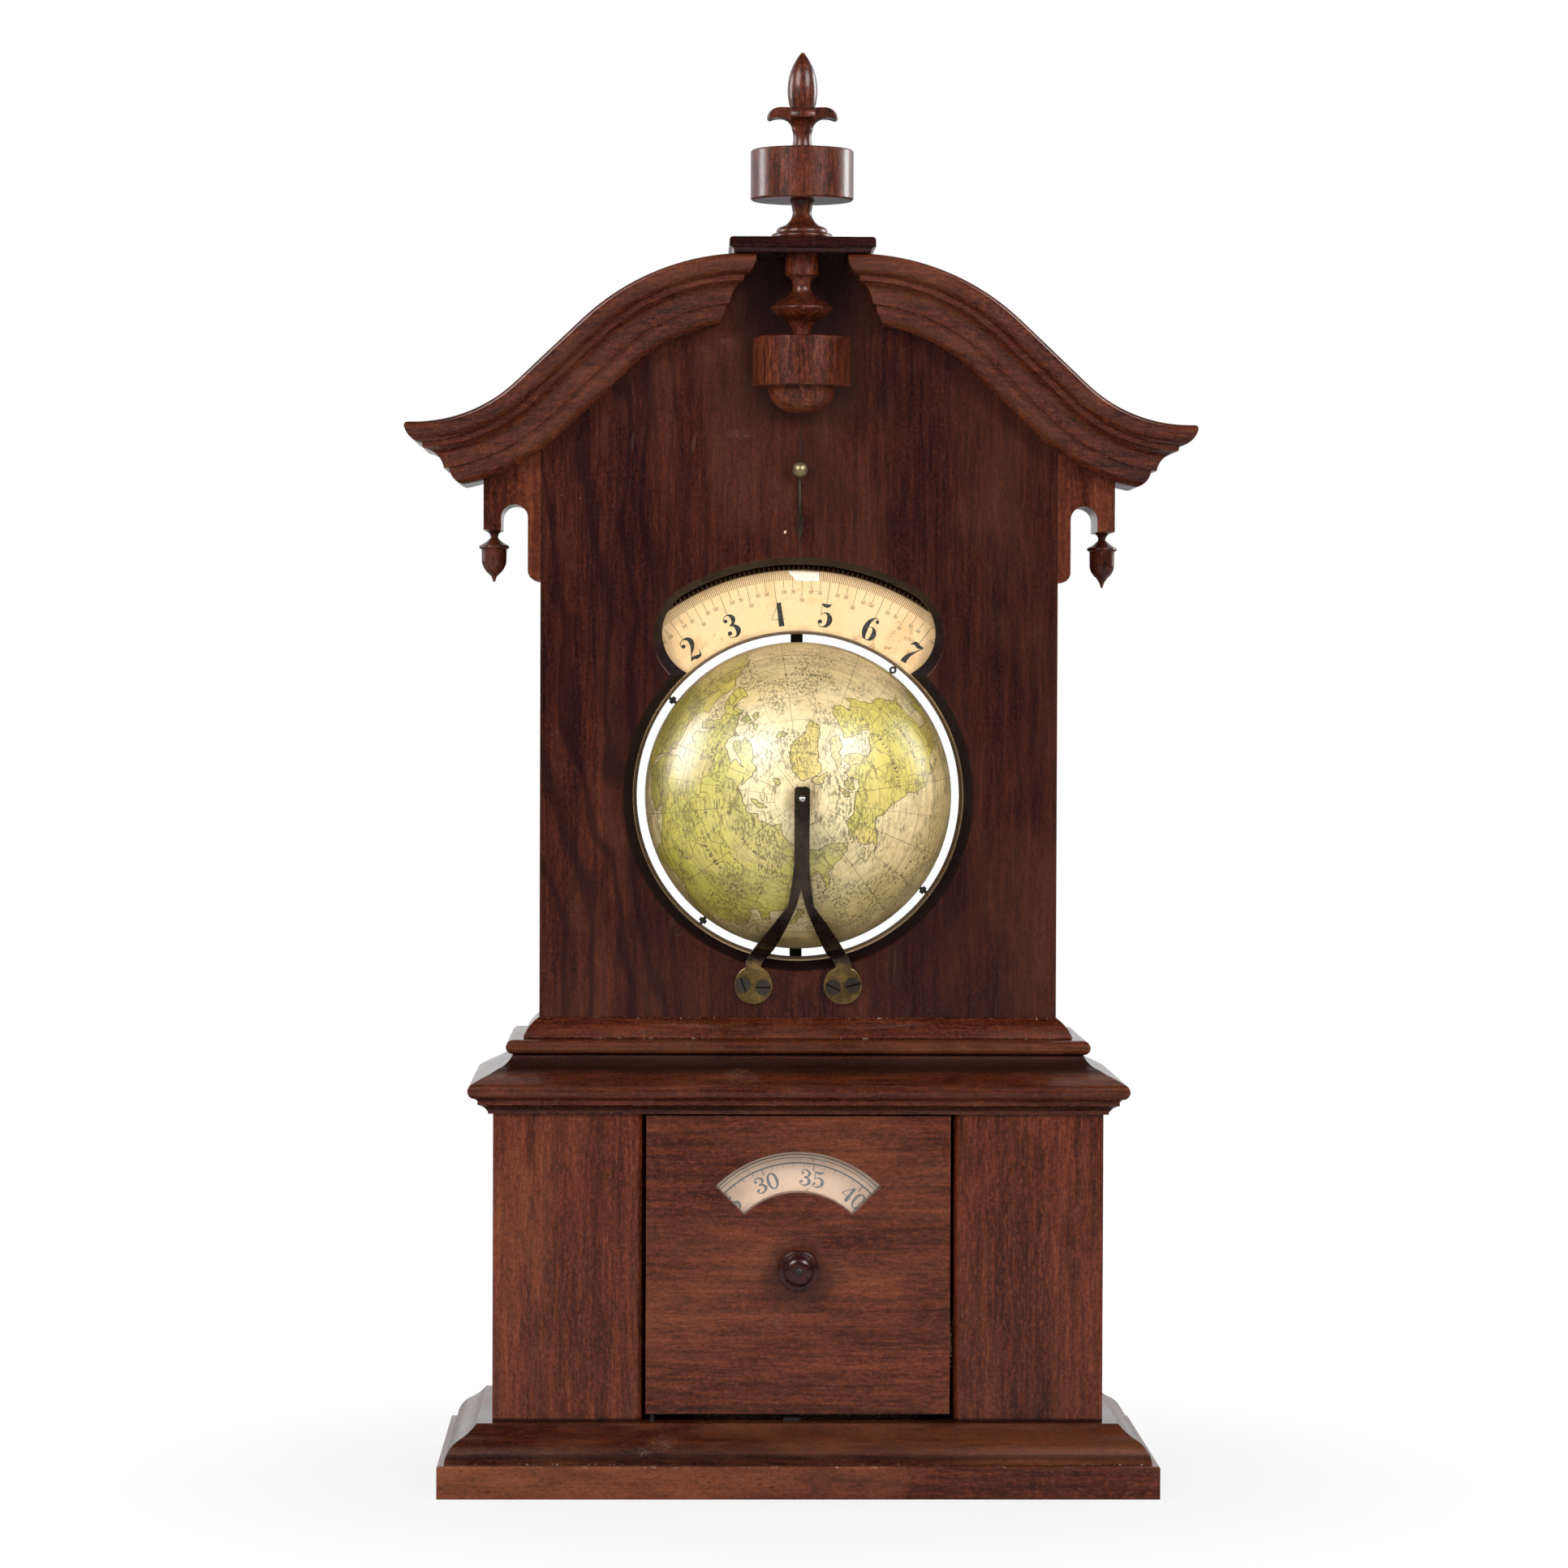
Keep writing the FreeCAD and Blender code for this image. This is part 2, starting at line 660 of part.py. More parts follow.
def knob_screw():
    y = BODY_FRONT
    head = turned_level(0, MINUTE_Z, (0, y - 14.6), [
        (1.9, y - 14.6),
        ((1.4, y - 15.2), (0, y - 15.4)),
    ])
    slot = box(-0.3, 0.3, y - 16, y - 15.0, MINUTE_Z - 3, MINUTE_Z + 3)
    slot.rotate(V(0, 0, MINUTE_Z), V(0, 1, 0), -22)
    return joined(head.cut(slot), rod_y(1.5, 0, MINUTE_Z, y - 14.8, y + 8))


def door_pivots():
    """Two pins on which the door swings, let into board and moulding."""
    low = rod_z(HINGE_R, HINGE_X, HINGE_Y, LEDGE_Z - 6, DOOR_Z0 + 9)
    high = rod_z(HINGE_R, HINGE_X, HINGE_Y, DOOR_Z1 - 9, BODY_TOP + 6)
    return Part.makeCompound([low, high])


def door_catch():
    """Bent spring strip under the door with a ridge that grips its edge."""
    strip = box(-7, 1, -45.5, -30, LEDGE_Z, LEDGE_Z + 0.8)
    ridge = Part.makeCylinder(1.3, 8, V(-7, -43.6, LEDGE_Z + 0.8), V(1, 0, 0))
    ridge = ridge.cut(box(-8, 2, -50, -40, LEDGE_Z - 5, LEDGE_Z))
    return joined(strip, ridge)


# ----------------------------------------------------------- globe and ring
def globe_shell():
    centre = V(0, GLOBE_Y, GLOBE_Z)
    shell = Part.makeSphere(GLOBE_R, centre).cut(Part.makeSphere(GLOBE_R - 3.2, centre))
    shell = shell.cut(rod_y(ARBOR_R, 0, GLOBE_Z, GLOBE_Y - 90, GLOBE_Y + 90))
    return shell.cut(Part.makeCompound([ring_pin(a) for a in PIN_ANGLES]))


ARBOR_R = 2.4
PIVOT_R = 1.6
BRIDGE_IN = 79.4       # inner radius of the bridge and bow about the globe
BRIDGE_OUT = 82.6
FLANGE = 2.8
PIN_ANGLES = (37.0, 127.0, 217.0, 307.0)


def globe_arbor():
    """Arbor through both poles, shouldered to a pivot at each end."""
    y = GLOBE_Y
    core = rod_y(ARBOR_R, 0, GLOBE_Z, y - BRIDGE_IN + 0.6, y + BRIDGE_IN - 0.6)
    pivots = rod_y(PIVOT_R, 0, GLOBE_Z, y - BRIDGE_OUT - 0.5, y + BRIDGE_OUT + 0.5)
    dome = Part.makeSphere(PIVOT_R, V(0, y - BRIDGE_OUT - 0.5, GLOBE_Z))
    return joined(core, pivots, dome)


def ring_pin(angle):
    """Radial pin that ties the ring to the globe, clockwise angle from the top.

    The first has an eye in the gap, the others a hexagon nut.
    """
    along = V(SIN(angle), 0, COS(angle))
    beside = V(COS(angle), 0, -SIN(angle))
    centre = V(0, GLOBE_Y + 1.0, GLOBE_Z)
    tenon = Part.makeCylinder(0.45, 11, centre + along * (GLOBE_R - 4.0), along)
    gap = RING_IN - GLOBE_R
    shank = Part.makeCylinder(0.85, gap - 0.1, centre + along * (GLOBE_R + 0.05), along)
    middle = centre + along * (GLOBE_R + gap / 2)
    if angle == PIN_ANGLES[0]:
        outer = Part.makeCylinder(1.8, 1.7, middle - BACKWARD * 0.85, BACKWARD)
        eye = Part.makeCylinder(0.8, 3.0, middle - BACKWARD * 1.5, BACKWARD)
        return joined(tenon, shank, outer).cut(eye)
    corners = []
    for turn in range(0, 361, 60):
        spoke = beside * COS(turn) + BACKWARD * SIN(turn)
        corners.append(middle - along * 1.0 + spoke * 1.9)
    nut = Part.Face(Part.makePolygon(corners)).extrude(along * 2.0)
    return joined(tenon, shank, nut)


def ring_pins():
    return Part.makeCompound([ring_pin(a) for a in PIN_ANGLES])


def annulus(r_in, r_out, y0, y1):
    return rod_y(r_out, 0, GLOBE_Z, y0, y1).cut(rod_y(r_in, 0, GLOBE_Z, y0 - 1, y1 + 1))


def dial_ring():
    """Plain brass plate that carries the paper hour dial."""
    ring = annulus(RING_IN, RING_OUT, GLOBE_Y, GLOBE_Y + 2.0)
    return ring.cut(ring_pins())


def hour_dial():
    return annulus(PAPER_IN, RING_OUT - 0.3, GLOBE_Y - 0.3, GLOBE_Y)


# ------------------------------------------------------------------- gearing
def toothed(teeth, module, thick, add=0.9, ded=1.15):
    """Outline of a wheel as (radius, angle) corners, a tooth at angle 0.

    `thick` is the tooth's share of the pitch at the pitch circle.
    """
    pitch = 360.0 / teeth
    r = teeth * module / 2
    corners = []
    for i in range(teeth):
        middle = i * pitch
        for radius, share in (
            (r - ded * module, thick + 0.14),
            (r + add * module, thick - 0.22),
        ):
            half = pitch * share / 2
            corners.append((radius, middle - half))
            corners.append((radius, middle + half))
    ordered = []
    for i in range(teeth):
        low_a, low_b, high_a, high_b = corners[4 * i:4 * i + 4]
        ordered += [low_a, high_a, high_b, low_b]
    return ordered


def wheel(at, y0, y1, teeth, module, facing, thick=0.46):
    """A spur wheel about an axis along Y, with a tooth pointing at `facing` degrees."""
    points = [
        V(at[0] + r * COS(a + facing), y0, at[1] + r * SIN(a + facing))
        for r, a in toothed(teeth, module, thick)
    ]
    face = Part.Face(Part.makePolygon(points + points[:1]))
    return face.extrude(V(0, y1 - y0, 0))


def leaf_pinion(at, y0, y1, leaves, module, facing):
    """A pinion with a gap between leaves pointing at `facing` degrees."""
    return wheel(at, y0, y1, leaves, module, facing + 180.0 / leaves, 0.40)


def crossed(blank, at, y0, y1, r_in, r_out, arms, arm):
    """The blank with windows cut so that `arms` spokes of width `arm` stay."""
    for i in range(arms):
        a0 = 360.0 * i / arms
        a1 = a0 + 360.0 / arms
        spot = lambda r, a: (at[0] + r * COS(a), at[1] + r * SIN(a))
        lean_in = math.degrees(math.asin(arm / 2 / r_in))
        lean_out = math.degrees(math.asin(arm / 2 / r_out))
        middle = (a0 + a1) / 2
        window = upright(spot(r_in, a0 + lean_in), [
            spot(r_out, a0 + lean_out),
            (spot(r_out, middle), spot(r_out, a1 - lean_out)),
            spot(r_in, a1 - lean_in),
            (spot(r_in, middle), spot(r_in, a0 + lean_in)),
        ], y0 - 1, y1 + 1)
        blank = blank.cut(window)
    return blank


def ring_gear():
    """The 288-tooth rim behind the hour ring, its teeth just proud of the dial."""
    y0, y1 = GLOBE_Y + 2.0, GLOBE_Y + 3.2
    rim = wheel((0, GLOBE_Z), y0, y1, RING_TEETH, RING_MODULE, -90.0)
    return rim.cut(rod_y(102.0, 0, GLOBE_Z, y0 - 1, y1 + 1))


def mitre_gear(apex, axis, turn, hub):
    """Bevel gear whose pitch cone comes to `apex` along `axis`, hub behind."""
    scale = 0.70
    side = V(1, 0, 0)
    up = axis.cross(side)

    def ring_of(at_scale):
        centre = apex - axis * (MITRE_R * at_scale)
        points = []
        for r, a in toothed(MITRE_TEETH, 2 * MITRE_R / MITRE_TEETH, 0.40, 0.6, 0.85):
            spoke = side * COS(a + turn) + up * SIN(a + turn)
            points.append(centre + spoke * (r * at_scale))
        return Part.makePolygon(points + points[:1])

    teeth = Part.makeLoft([ring_of(1.0), ring_of(scale)], True, True)
    collar = Part.makeCylinder(4.2, hub, apex - axis * (MITRE_R + hub), axis)
    return joined(teeth, collar)


APEX_LOW = V(0, ROD_Y, MINUTE_Z)
APEX_HIGH = V(0, ROD_Y, PINION_Z)
HALF_TOOTH = 180.0 / MITRE_TEETH
ROD_R = 1.8
HUB = 1.4


def pinion_bevel():
    gear = mitre_gear(APEX_HIGH, BACKWARD, 90.0, HUB)
    return gear.cut(rod_y(1.5, 0, PINION_Z, -20, 20))


def minute_bevel():
    gear = mitre_gear(APEX_LOW, BACKWARD, 90.0, HUB)
    return gear.cut(rod_y(1.5, 0, MINUTE_Z, -20, 20))


def rod_bevels():
    """The pair of mitre gears at the two ends of the leading-off rod."""
    low = mitre_gear(APEX_LOW, UPWARD * -1, 90.0 + HALF_TOOTH, HUB)
    high = mitre_gear(APEX_HIGH, UPWARD, 90.0 + HALF_TOOTH, HUB)
    bore = rod_z(ROD_R, 0, ROD_Y, MINUTE_Z, PINION_Z)
    return Part.makeCompound([low.cut(bore), high.cut(bore)])


def leading_off_rod():
    """Upright rod; its collar rides on the floor of the motion bracket."""
    rod = rod_z(ROD_R, 0, ROD_Y, MINUTE_Z + 4.4, PINION_Z - 4.4)
    floor = PINION_Z - 21.0 + 1.8
    return joined(rod, rod_z(3.2, 0, ROD_Y, floor + RUN, floor + 1.8))


def ring_pinion():
    """Short arbor with the 12-leaf pinion that drives the ring."""
    pinion = leaf_pinion((0, PINION_Z), PINION_Y0, PINION_Y1, PINION_LEAVES,
                         RING_MODULE, 90.0)
    arbor = rod_y(1.5, 0, PINION_Z, BRACKET_FRONT + 1.9, BRACKET_BACK - 2.1)
    pivots = rod_y(1.0, 0, PINION_Z, BRACKET_FRONT + 0.2, BRACKET_BACK - 0.2)
    return joined(pinion, arbor, pivots)


BRACKET_FRONT = FACE_Y + BOARD + 0.1
BRACKET_BACK = ROD_Y + MITRE_R + 3.6
BRACKET_X = 12.0


def motion_bracket():
    """Brass cradle for the upper gearing, hung in the slot of the deck by two ears."""
    wall = 1.8
    low = PINION_Z - 21.0
    high = PINION_Z + 4.6
    cradle = box(-BRACKET_X, BRACKET_X, BRACKET_FRONT, BRACKET_BACK, low, high)
    inner = box(-BRACKET_X - 1, BRACKET_X + 1, BRACKET_FRONT + wall, BRACKET_BACK - wall,
                low + wall, high + 1)
    ears = box(-26, 26, BRACKET_FRONT, BRACKET_BACK, DECK_TOP, DECK_TOP + 1.8)
    ears = ears.cut(box(-BRACKET_X + wall, BRACKET_X - wall, -60, 60, DECK_TOP - 1, DECK_TOP + 3))
    cheeks = box(-BRACKET_X, BRACKET_X, BRACKET_FRONT, BRACKET_BACK, DECK_TOP - 8, DECK_TOP + 1.8)
    cheeks = cheeks.cut(box(-BRACKET_X + wall, BRACKET_X - wall, -60, 60, 200, 240))
    bracket = joined(cradle.cut(inner), ears, cheeks)
    bracket = bracket.cut(rod_y(1.0 + RUN, 0, PINION_Z, -60, 60))
    bracket = bracket.cut(rod_z(ROD_R + RUN, 0, ROD_Y, low - 1, low + wall + 1))
    for x in (-20, 20):
        bracket = bracket.cut(rod_z(1.3, x, BRACKET_SCREW_Y, DECK_TOP - 1, DECK_TOP + 3))
    return bracket


BRACKET_SCREW_Y = (BRACKET_FRONT + BRACKET_BACK) / 2


# ------------------------------------------------------- bridge and rear bow
def bell(side, flange_y, edge):
    """Thin bell about the globe axis: round the globe, then flat to a flange.

    `side` is -1 for the front and 1 for the back; `edge` is the angle from
    the axis at which the wall leaves the globe and sweeps out to the flange.
    """
    at = lambda r, d: (r, GLOBE_Y + side * d)
    bent = lambda r, a: at(r * SIN(a), r * COS(a))
    flange = abs(flange_y - GLOBE_Y)

    def sweep(r, angle, shoulder, flat):
        """Middle of the arc that leaves the bell and meets the flange tangentially."""
        dr, dd = shoulder - r * SIN(angle), r * COS(angle) - flat
        bend = (dr * dr + dd * dd) / (2 * dd)
        half = math.degrees(math.atan2(dr, bend - dd)) / 2
        return at(shoulder - bend * SIN(half), flat + bend * (1 - COS(half)))

    top = flange + FLANGE
    return turned_level(0, GLOBE_Z, at(0, BRIDGE_IN), [
        (bent(BRIDGE_IN, edge / 2), bent(BRIDGE_IN, edge)),
        (sweep(BRIDGE_IN, edge, 87.6, flange), at(87.6, flange)),
        at(112, flange),
        at(112, top),
        at(88.6, top),
        (sweep(BRIDGE_OUT, edge - 2, 88.6, top), bent(BRIDGE_OUT, edge - 2)),
        (bent(BRIDGE_OUT, edge / 2 - 1), at(0, BRIDGE_OUT)),
    ])


BRIDGE_FOOT = (22.1, GLOBE_Z - 93.6)
BRIDGE_FOOT_R = 9.4
BRIDGE_SCREWS = ((-27.2, 0.0), (-17.3, -1.2), (17.3, -1.2), (27.2, 0.0))
SCREW_R = 1.5


def front_bridge():
    """Wishbone bridge: two arms rise from round feet and join over the pole."""
    z = GLOBE_Z
    strip, top, bevel = 3.7, z + 5.9, 1.0
    right = [
        (strip, z - 31.0),
        ((4.7, z - 41.8), (6.4, z - 52.6)),
        ((15.5, z - 65.3), (24.1, z - 78.7)),
        ((26.0, z - 83.0), (25.4, z - 87.5)),
        (19.0, z - 87.5),
        ((17.8, z - 82.6), (14.2, z - 78.7)),
        ((7.4, z - 65.1), (2.1, z - 52.6)),
        (0, z - 44.5),
    ]
    left = mirrored_steps(right)
    arms = upright((strip, top - bevel), right + left + [
        (-strip, top - bevel),
        (bevel - strip, top),
        (strip - bevel, top),
    ], -130, 0)
    plan = [arms]
    for x in (-BRIDGE_FOOT[0], BRIDGE_FOOT[0]):
        plan.append(rod_y(BRIDGE_FOOT_R, x, BRIDGE_FOOT[1], -130, 0))
    bridge = bell(-1, FACE_Y, 71.5).common(joined(*plan))
    bridge = bridge.cut(rod_y(PIVOT_R + RUN, 0, GLOBE_Z, -130, 0))
    for x, z in BRIDGE_SCREWS:
        bridge = bridge.cut(rod_y(SCREW_R, x, BRIDGE_FOOT[1] + z, -60, 0))
    return bridge


def bridge_screws():
    """Four slotted cheese-head wood screws."""
    top = FACE_Y - FLANGE
    screws = []
    for (x, z), lean in zip(BRIDGE_SCREWS, (70, 0, 25, -17)):
        z = BRIDGE_FOOT[1] + z
        head = rod_y(3.8, x, z, top - 1.3, top)
        slot = box(-5, 5, top - 2, top - 0.7, -0.4, 0.4)
        slot.rotate(V(0, 0, 0), V(0, 1, 0), lean)
        slot.translate(V(x, 0, z))
        screws.append(joined(head.cut(slot), rod_y(SCREW_R, x, z, top - 0.5, FACE_Y + 9)))
    return Part.makeCompound(screws)


BOW_SCREW_R = 99.0


def rear_bow():
    """Bowed iron strap behind the globe that carries the rear pivot."""
    half = 3.0
    reach = 105.0
    strap = upright((half, GLOBE_Z + reach), [
        (half, GLOBE_Z - reach),
        (-half, GLOBE_Z - reach),
        (-half, GLOBE_Z + reach),
    ], 0, 130)
    strap = joined(strap, rod_y(6.0, 0, GLOBE_Z, 0, 130))
    bow = bell(1, BACK_Y, 56.0).common(strap)
    bow = bow.cut(rod_y(PIVOT_R + RUN, 0, GLOBE_Z, 0, 130))
    for z in (GLOBE_Z - BOW_SCREW_R, GLOBE_Z + BOW_SCREW_R):
        bow = bow.cut(rod_y(1.4, 0, z, 0, 60))
    return bow


def brass_screws():
    """Small screws of the rear bow, the motion bracket and the movement feet."""
    screws = []
    top = BACK_Y + FLANGE
    for z in (GLOBE_Z - BOW_SCREW_R, GLOBE_Z + BOW_SCREW_R):
        shank = rod_y(1.4, 0, z, BACK_Y - 6, top + 0.1)
        screws.append(joined(shank, rod_y(2.6, 0, z, top, top + 1.2)))
    for x in (-20, 20):
        shank = rod_z(1.3, x, BRACKET_SCREW_Y, DECK_TOP - 6, DECK_TOP + 1.9)
        screws.append(joined(shank, rod_z(2.4, x, BRACKET_SCREW_Y, DECK_TOP + 1.8, DECK_TOP + 2.8)))
    for x in FOOT_SCREWS:
        shank = rod_z(1.3, x, FOOT_SCREW_Y, LEDGE_Z - 8, LEDGE_Z + 2.1)
        screws.append(joined(shank, rod_z(2.4, x, FOOT_SCREW_Y, LEDGE_Z + 2.0, LEDGE_Z + 3.0)))
    return Part.makeCompound(screws)


# ------------------------------------------------------------------ movement
FOOT_SCREWS = (-30.0, 40.0)
FOOT_SCREW_Y = PLATE_BACK + 5.0
FRONT_PLATE_Z0 = LEDGE_Z + 5.5
PILLARS = ((-45.0, 48.0), (12.0, 46.0), (-45.0, 148.0), (52.0, 148.0))
PLATE_X0, PLATE_X1, PLATE_Z1 = -50.0, 61.0, 157.0
INSIDE0, INSIDE1 = PLATE_FRONT + PLATE, PLATE_BACK - PLATE
BARREL_ARBOR_R = 2.6
CENTRE_R = 1.5


def movement_plates():
    """Front and back plates; the back one has a foot turned over at the bottom."""
    cut = 8.0
    outline = ((PLATE_X0, LEDGE_Z), [
        (PLATE_X0, PLATE_Z1 - cut),
        (PLATE_X0 + cut, PLATE_Z1),
        (PLATE_X1 - cut, PLATE_Z1),
        (PLATE_X1, PLATE_Z1 - cut),
        (PLATE_X1, LEDGE_Z),
    ])
    front = upright(*outline, PLATE_FRONT, INSIDE0)
    front = front.cut(box(PLATE_X0, PLATE_X1, PLATE_FRONT, INSIDE0, LEDGE_Z, FRONT_PLATE_Z0))
    back = upright(*outline, INSIDE1, PLATE_BACK)
    foot = box(PLATE_X0, PLATE_X1, PLATE_BACK, PLATE_BACK + 10, LEDGE_Z, LEDGE_Z + 2)
    back = joined(back, foot)
    holes = [rod_y(1.4, x, z, -40, 0) for x, z in PILLARS]
    holes.append(rod_y(CENTRE_R + RUN, 0, MINUTE_Z, -40, 0))
    holes.append(rod_y(0.8 + RUN, *SECOND_AT, -40, 0))
    holes.append(rod_y(BARREL_ARBOR_R + RUN, *BARREL_AT, -40, 0))
    holes.append(rod_y(0.8 + RUN, *THIRD_AT, -40, 0))
    holes.append(rod_y(1.0, *CLICK_AT, -40, -20))
    for x in FOOT_SCREWS:
        holes.append(rod_z(1.3, x, FOOT_SCREW_Y, LEDGE_Z - 1, LEDGE_Z + 3))
    tools = Part.makeCompound(holes)
    return Part.makeCompound([front.cut(tools), back.cut(tools)])


def plate_pillars():
    """Four turned pillars, pinned through both plates."""
    pillars = []
    for x, z in PILLARS:
        pillars.append(turned_level(x, z, (0, PLATE_FRONT - 0.4), [
            (1.4, PLATE_FRONT - 0.4),
            (1.4, INSIDE0),
            (3.2, INSIDE0),
            (3.2, INSIDE0 + 2),
            ((2.3, (INSIDE0 + INSIDE1) / 2), (3.2, INSIDE1 - 2)),
            (3.2, INSIDE1),
            (1.4, INSIDE1),
            (1.4, PLATE_BACK + 0.4),
            (0, PLATE_BACK + 0.4),
        ]))
    return Part.makeCompound(pillars)


def barrel():
    """Mainspring barrel, closed, with the 64-tooth great wheel at its rear."""
    y0, y1, y2 = -23.4, -14.4, -13.0
    drum = rod_y(25.6, *BARREL_AT, y0, y1)
    drum = drum.cut(rod_y(24.4, *BARREL_AT, y0 - 1, y0 + 0.6))
    great = wheel(BARREL_AT, y1, y2, WHEEL_TEETH, WHEEL_MODULE, BARREL_ANGLE + 180)
    return joined(drum, great).cut(rod_y(BARREL_ARBOR_R + RUN, *BARREL_AT, -60, 0))


RATCHET_TEETH = 24
RATCHET_R = 11.0
CLICK_ANGLE = 210.0


def near_ratchet(r, angle):
    """A point about the barrel arbor, counted from the tooth that the click holds."""
    turn = CLICK_ANGLE + angle
    return (BARREL_AT[0] + r * COS(turn), BARREL_AT[1] + r * SIN(turn))


CLICK_AT = near_ratchet(14.9, -48.8)


def ratchet_points(y):
    """Saw-tooth ratchet outline about the barrel arbor."""
    points = []
    pitch = 360.0 / RATCHET_TEETH
    for i in range(RATCHET_TEETH):
        for r, a in ((RATCHET_R - 1.4, i * pitch), (RATCHET_R, (i + 0.08) * pitch)):
            points.append(V(BARREL_AT[0] + r * COS(a), y, BARREL_AT[1] + r * SIN(a)))
    return points + points[:1]


def winding_arbor():
    """Barrel arbor with its ratchet wheel and winding square."""
    front = PLATE_FRONT - 6.2
    arbor = rod_y(BARREL_ARBOR_R, *BARREL_AT, PLATE_FRONT - 2.4, PLATE_BACK + 0.6)
    ratchet = Part.Face(Part.makePolygon(ratchet_points(PLATE_FRONT - 1.9)))
    ratchet = ratchet.extrude(V(0, 1.4, 0))
    half = 1.7
    square = box(BARREL_AT[0] - half, BARREL_AT[0] + half, front, PLATE_FRONT - 1,
                 BARREL_AT[1] - half, BARREL_AT[1] + half)
    return joined(arbor, ratchet, square)


def ratchet_click():
    """Click on its stud, its beak lying in the ratchet."""
    x, z = CLICK_AT
    y0, y1 = PLATE_FRONT - 1.9, PLATE_FRONT - 0.5
    body = rod_y(2.6, x, z, y0, y1)
    beak = upright(near_ratchet(10.0, -1.0), [
        near_ratchet(11.2, -0.8),
        near_ratchet(14.3, -12.0),
        near_ratchet(17.2, -44.0),
        near_ratchet(12.7, -46.0),
        near_ratchet(13.0, -20.0),
    ], y0, y1)
    stud = rod_y(1.0 - RUN, x, z, y0 - 0.4, INSIDE0)
    return joined(body, beak, stud)


def arbor_between(at, r):
    """Plain arbor with pivots that run in both plates."""
    core = rod_y(r, *at, INSIDE0 + 0.15, INSIDE1 - 0.15)
    return joined(core, rod_y(0.8, *at, PLATE_FRONT + 0.2, PLATE_BACK - 0.2))


def intermediate_wheel():
    """Second arbor: an 8-leaf pinion on the great wheel, a wheel on the centre pinion."""
    y0, y1 = -25.8, -24.6
    blank = wheel(SECOND_AT, y0, y1, WHEEL_TEETH, WHEEL_MODULE, BARREL_ANGLE + 180)
    blank = crossed(blank, SECOND_AT, y0, y1, 6.0, 24.5, 5, 3.0)
    pinion = leaf_pinion(SECOND_AT, -15.4, -12.0, WHEEL_LEAVES, WHEEL_MODULE, BARREL_ANGLE)
    return joined(blank, pinion, arbor_between(SECOND_AT, 1.7))


def centre_wheel():
    y0, y1 = -20.4, -19.2
    blank = wheel((0, MINUTE_Z), y0, y1, WHEEL_TEETH, WHEEL_MODULE, THIRD_ANGLE)
    blank = crossed(blank, (0, MINUTE_Z), y0, y1, 6.0, 24.5, 5, 3.0)
    return blank.cut(rod_y(CENTRE_R, 0, MINUTE_Z, -60, 0))


def third_pinion():
    """Third arbor: an 8-leaf pinion whose arbor enters the escapement case."""
    pinion = leaf_pinion(THIRD_AT, -21.4, -18.2, WHEEL_LEAVES, WHEEL_MODULE,
                         THIRD_ANGLE + 180)
    return joined(pinion, arbor_between(THIRD_AT, 1.2))


def minute_arbor():
    """Centre arbor: 8-leaf pinion, minute disc seat in front, mitre gear behind."""
    pinion = leaf_pinion((0, MINUTE_Z), -26.3, -24.0, WHEEL_LEAVES, WHEEL_MODULE,
                         BARREL_ANGLE)
    shaft = rod_y(CENTRE_R, 0, MINUTE_Z, -33.6, MITRE_Y + 1.8)
    return joined(pinion, shaft)


DISC_Y = -32.6
DISC_R = 61.0


def minute_disc():
    """Thin brass disc with a hub, carrying the minute paper."""
    disc = rod_y(DISC_R, 0, MINUTE_Z, DISC_Y, DISC_Y + 0.9)
    disc = joined(disc, rod_y(5.0, 0, MINUTE_Z, DISC_Y + 0.8, PLATE_FRONT - 0.3))
    return disc.cut(rod_y(CENTRE_R, 0, MINUTE_Z, -60, 0))


def minute_dial():
    paper = rod_y(DISC_R - 0.4, 0, MINUTE_Z, DISC_Y - 0.3, DISC_Y)
    return paper.cut(rod_y(8.0, 0, MINUTE_Z, -60, 0))


CASE_AT = (-21.0, 141.0)
BALANCE_X, BALANCE_Y = -22.0, -19.0


def escapement_case():
    """Closed brass case of the fast train, screwed inside the back plate."""
    x, z = CASE_AT
    body = box(x - 19, x + 19, -17.6, INSIDE1, z - 17, z + 14)
    upright_edges = [e for e in body.Edges if e.BoundBox.YLength > 5 and e.BoundBox.ZLength < 1]
    body = body.makeFillet(5.0, upright_edges)
    bench = box(BALANCE_X - 14, BALANCE_X + 14, -26, INSIDE1, z + 14, PLATE_Z1 + 1.0)
    body = joined(body, bench)
    body = body.cut(rod_y(1.2 + RUN, *THIRD_AT, -30, INSIDE1 + 1))
    return body.cut(rod_z(0.7 + RUN, BALANCE_X, BALANCE_Y, PLATE_Z1 - 1, PLATE_Z1 + 2))


def balance_wheel():
    """Balance with its staff: two arms, a heavy rim."""
    z = PLATE_Z1 + 4.2
    rim = rod_z(9.2, BALANCE_X, BALANCE_Y, z, z + 1.4)
    rim = rim.cut(rod_z(7.8, BALANCE_X, BALANCE_Y, z - 1, z + 3))
    arm = box(BALANCE_X - 8.2, BALANCE_X + 8.2, BALANCE_Y - 0.9, BALANCE_Y + 0.9, z, z + 1.0)
    staff = rod_z(0.7, BALANCE_X, BALANCE_Y, PLATE_Z1, z + 4.8)
    boss = rod_z(2.0, BALANCE_X, BALANCE_Y, z - 1.4, z + 2.0)
    return joined(rim, arm, staff, boss)


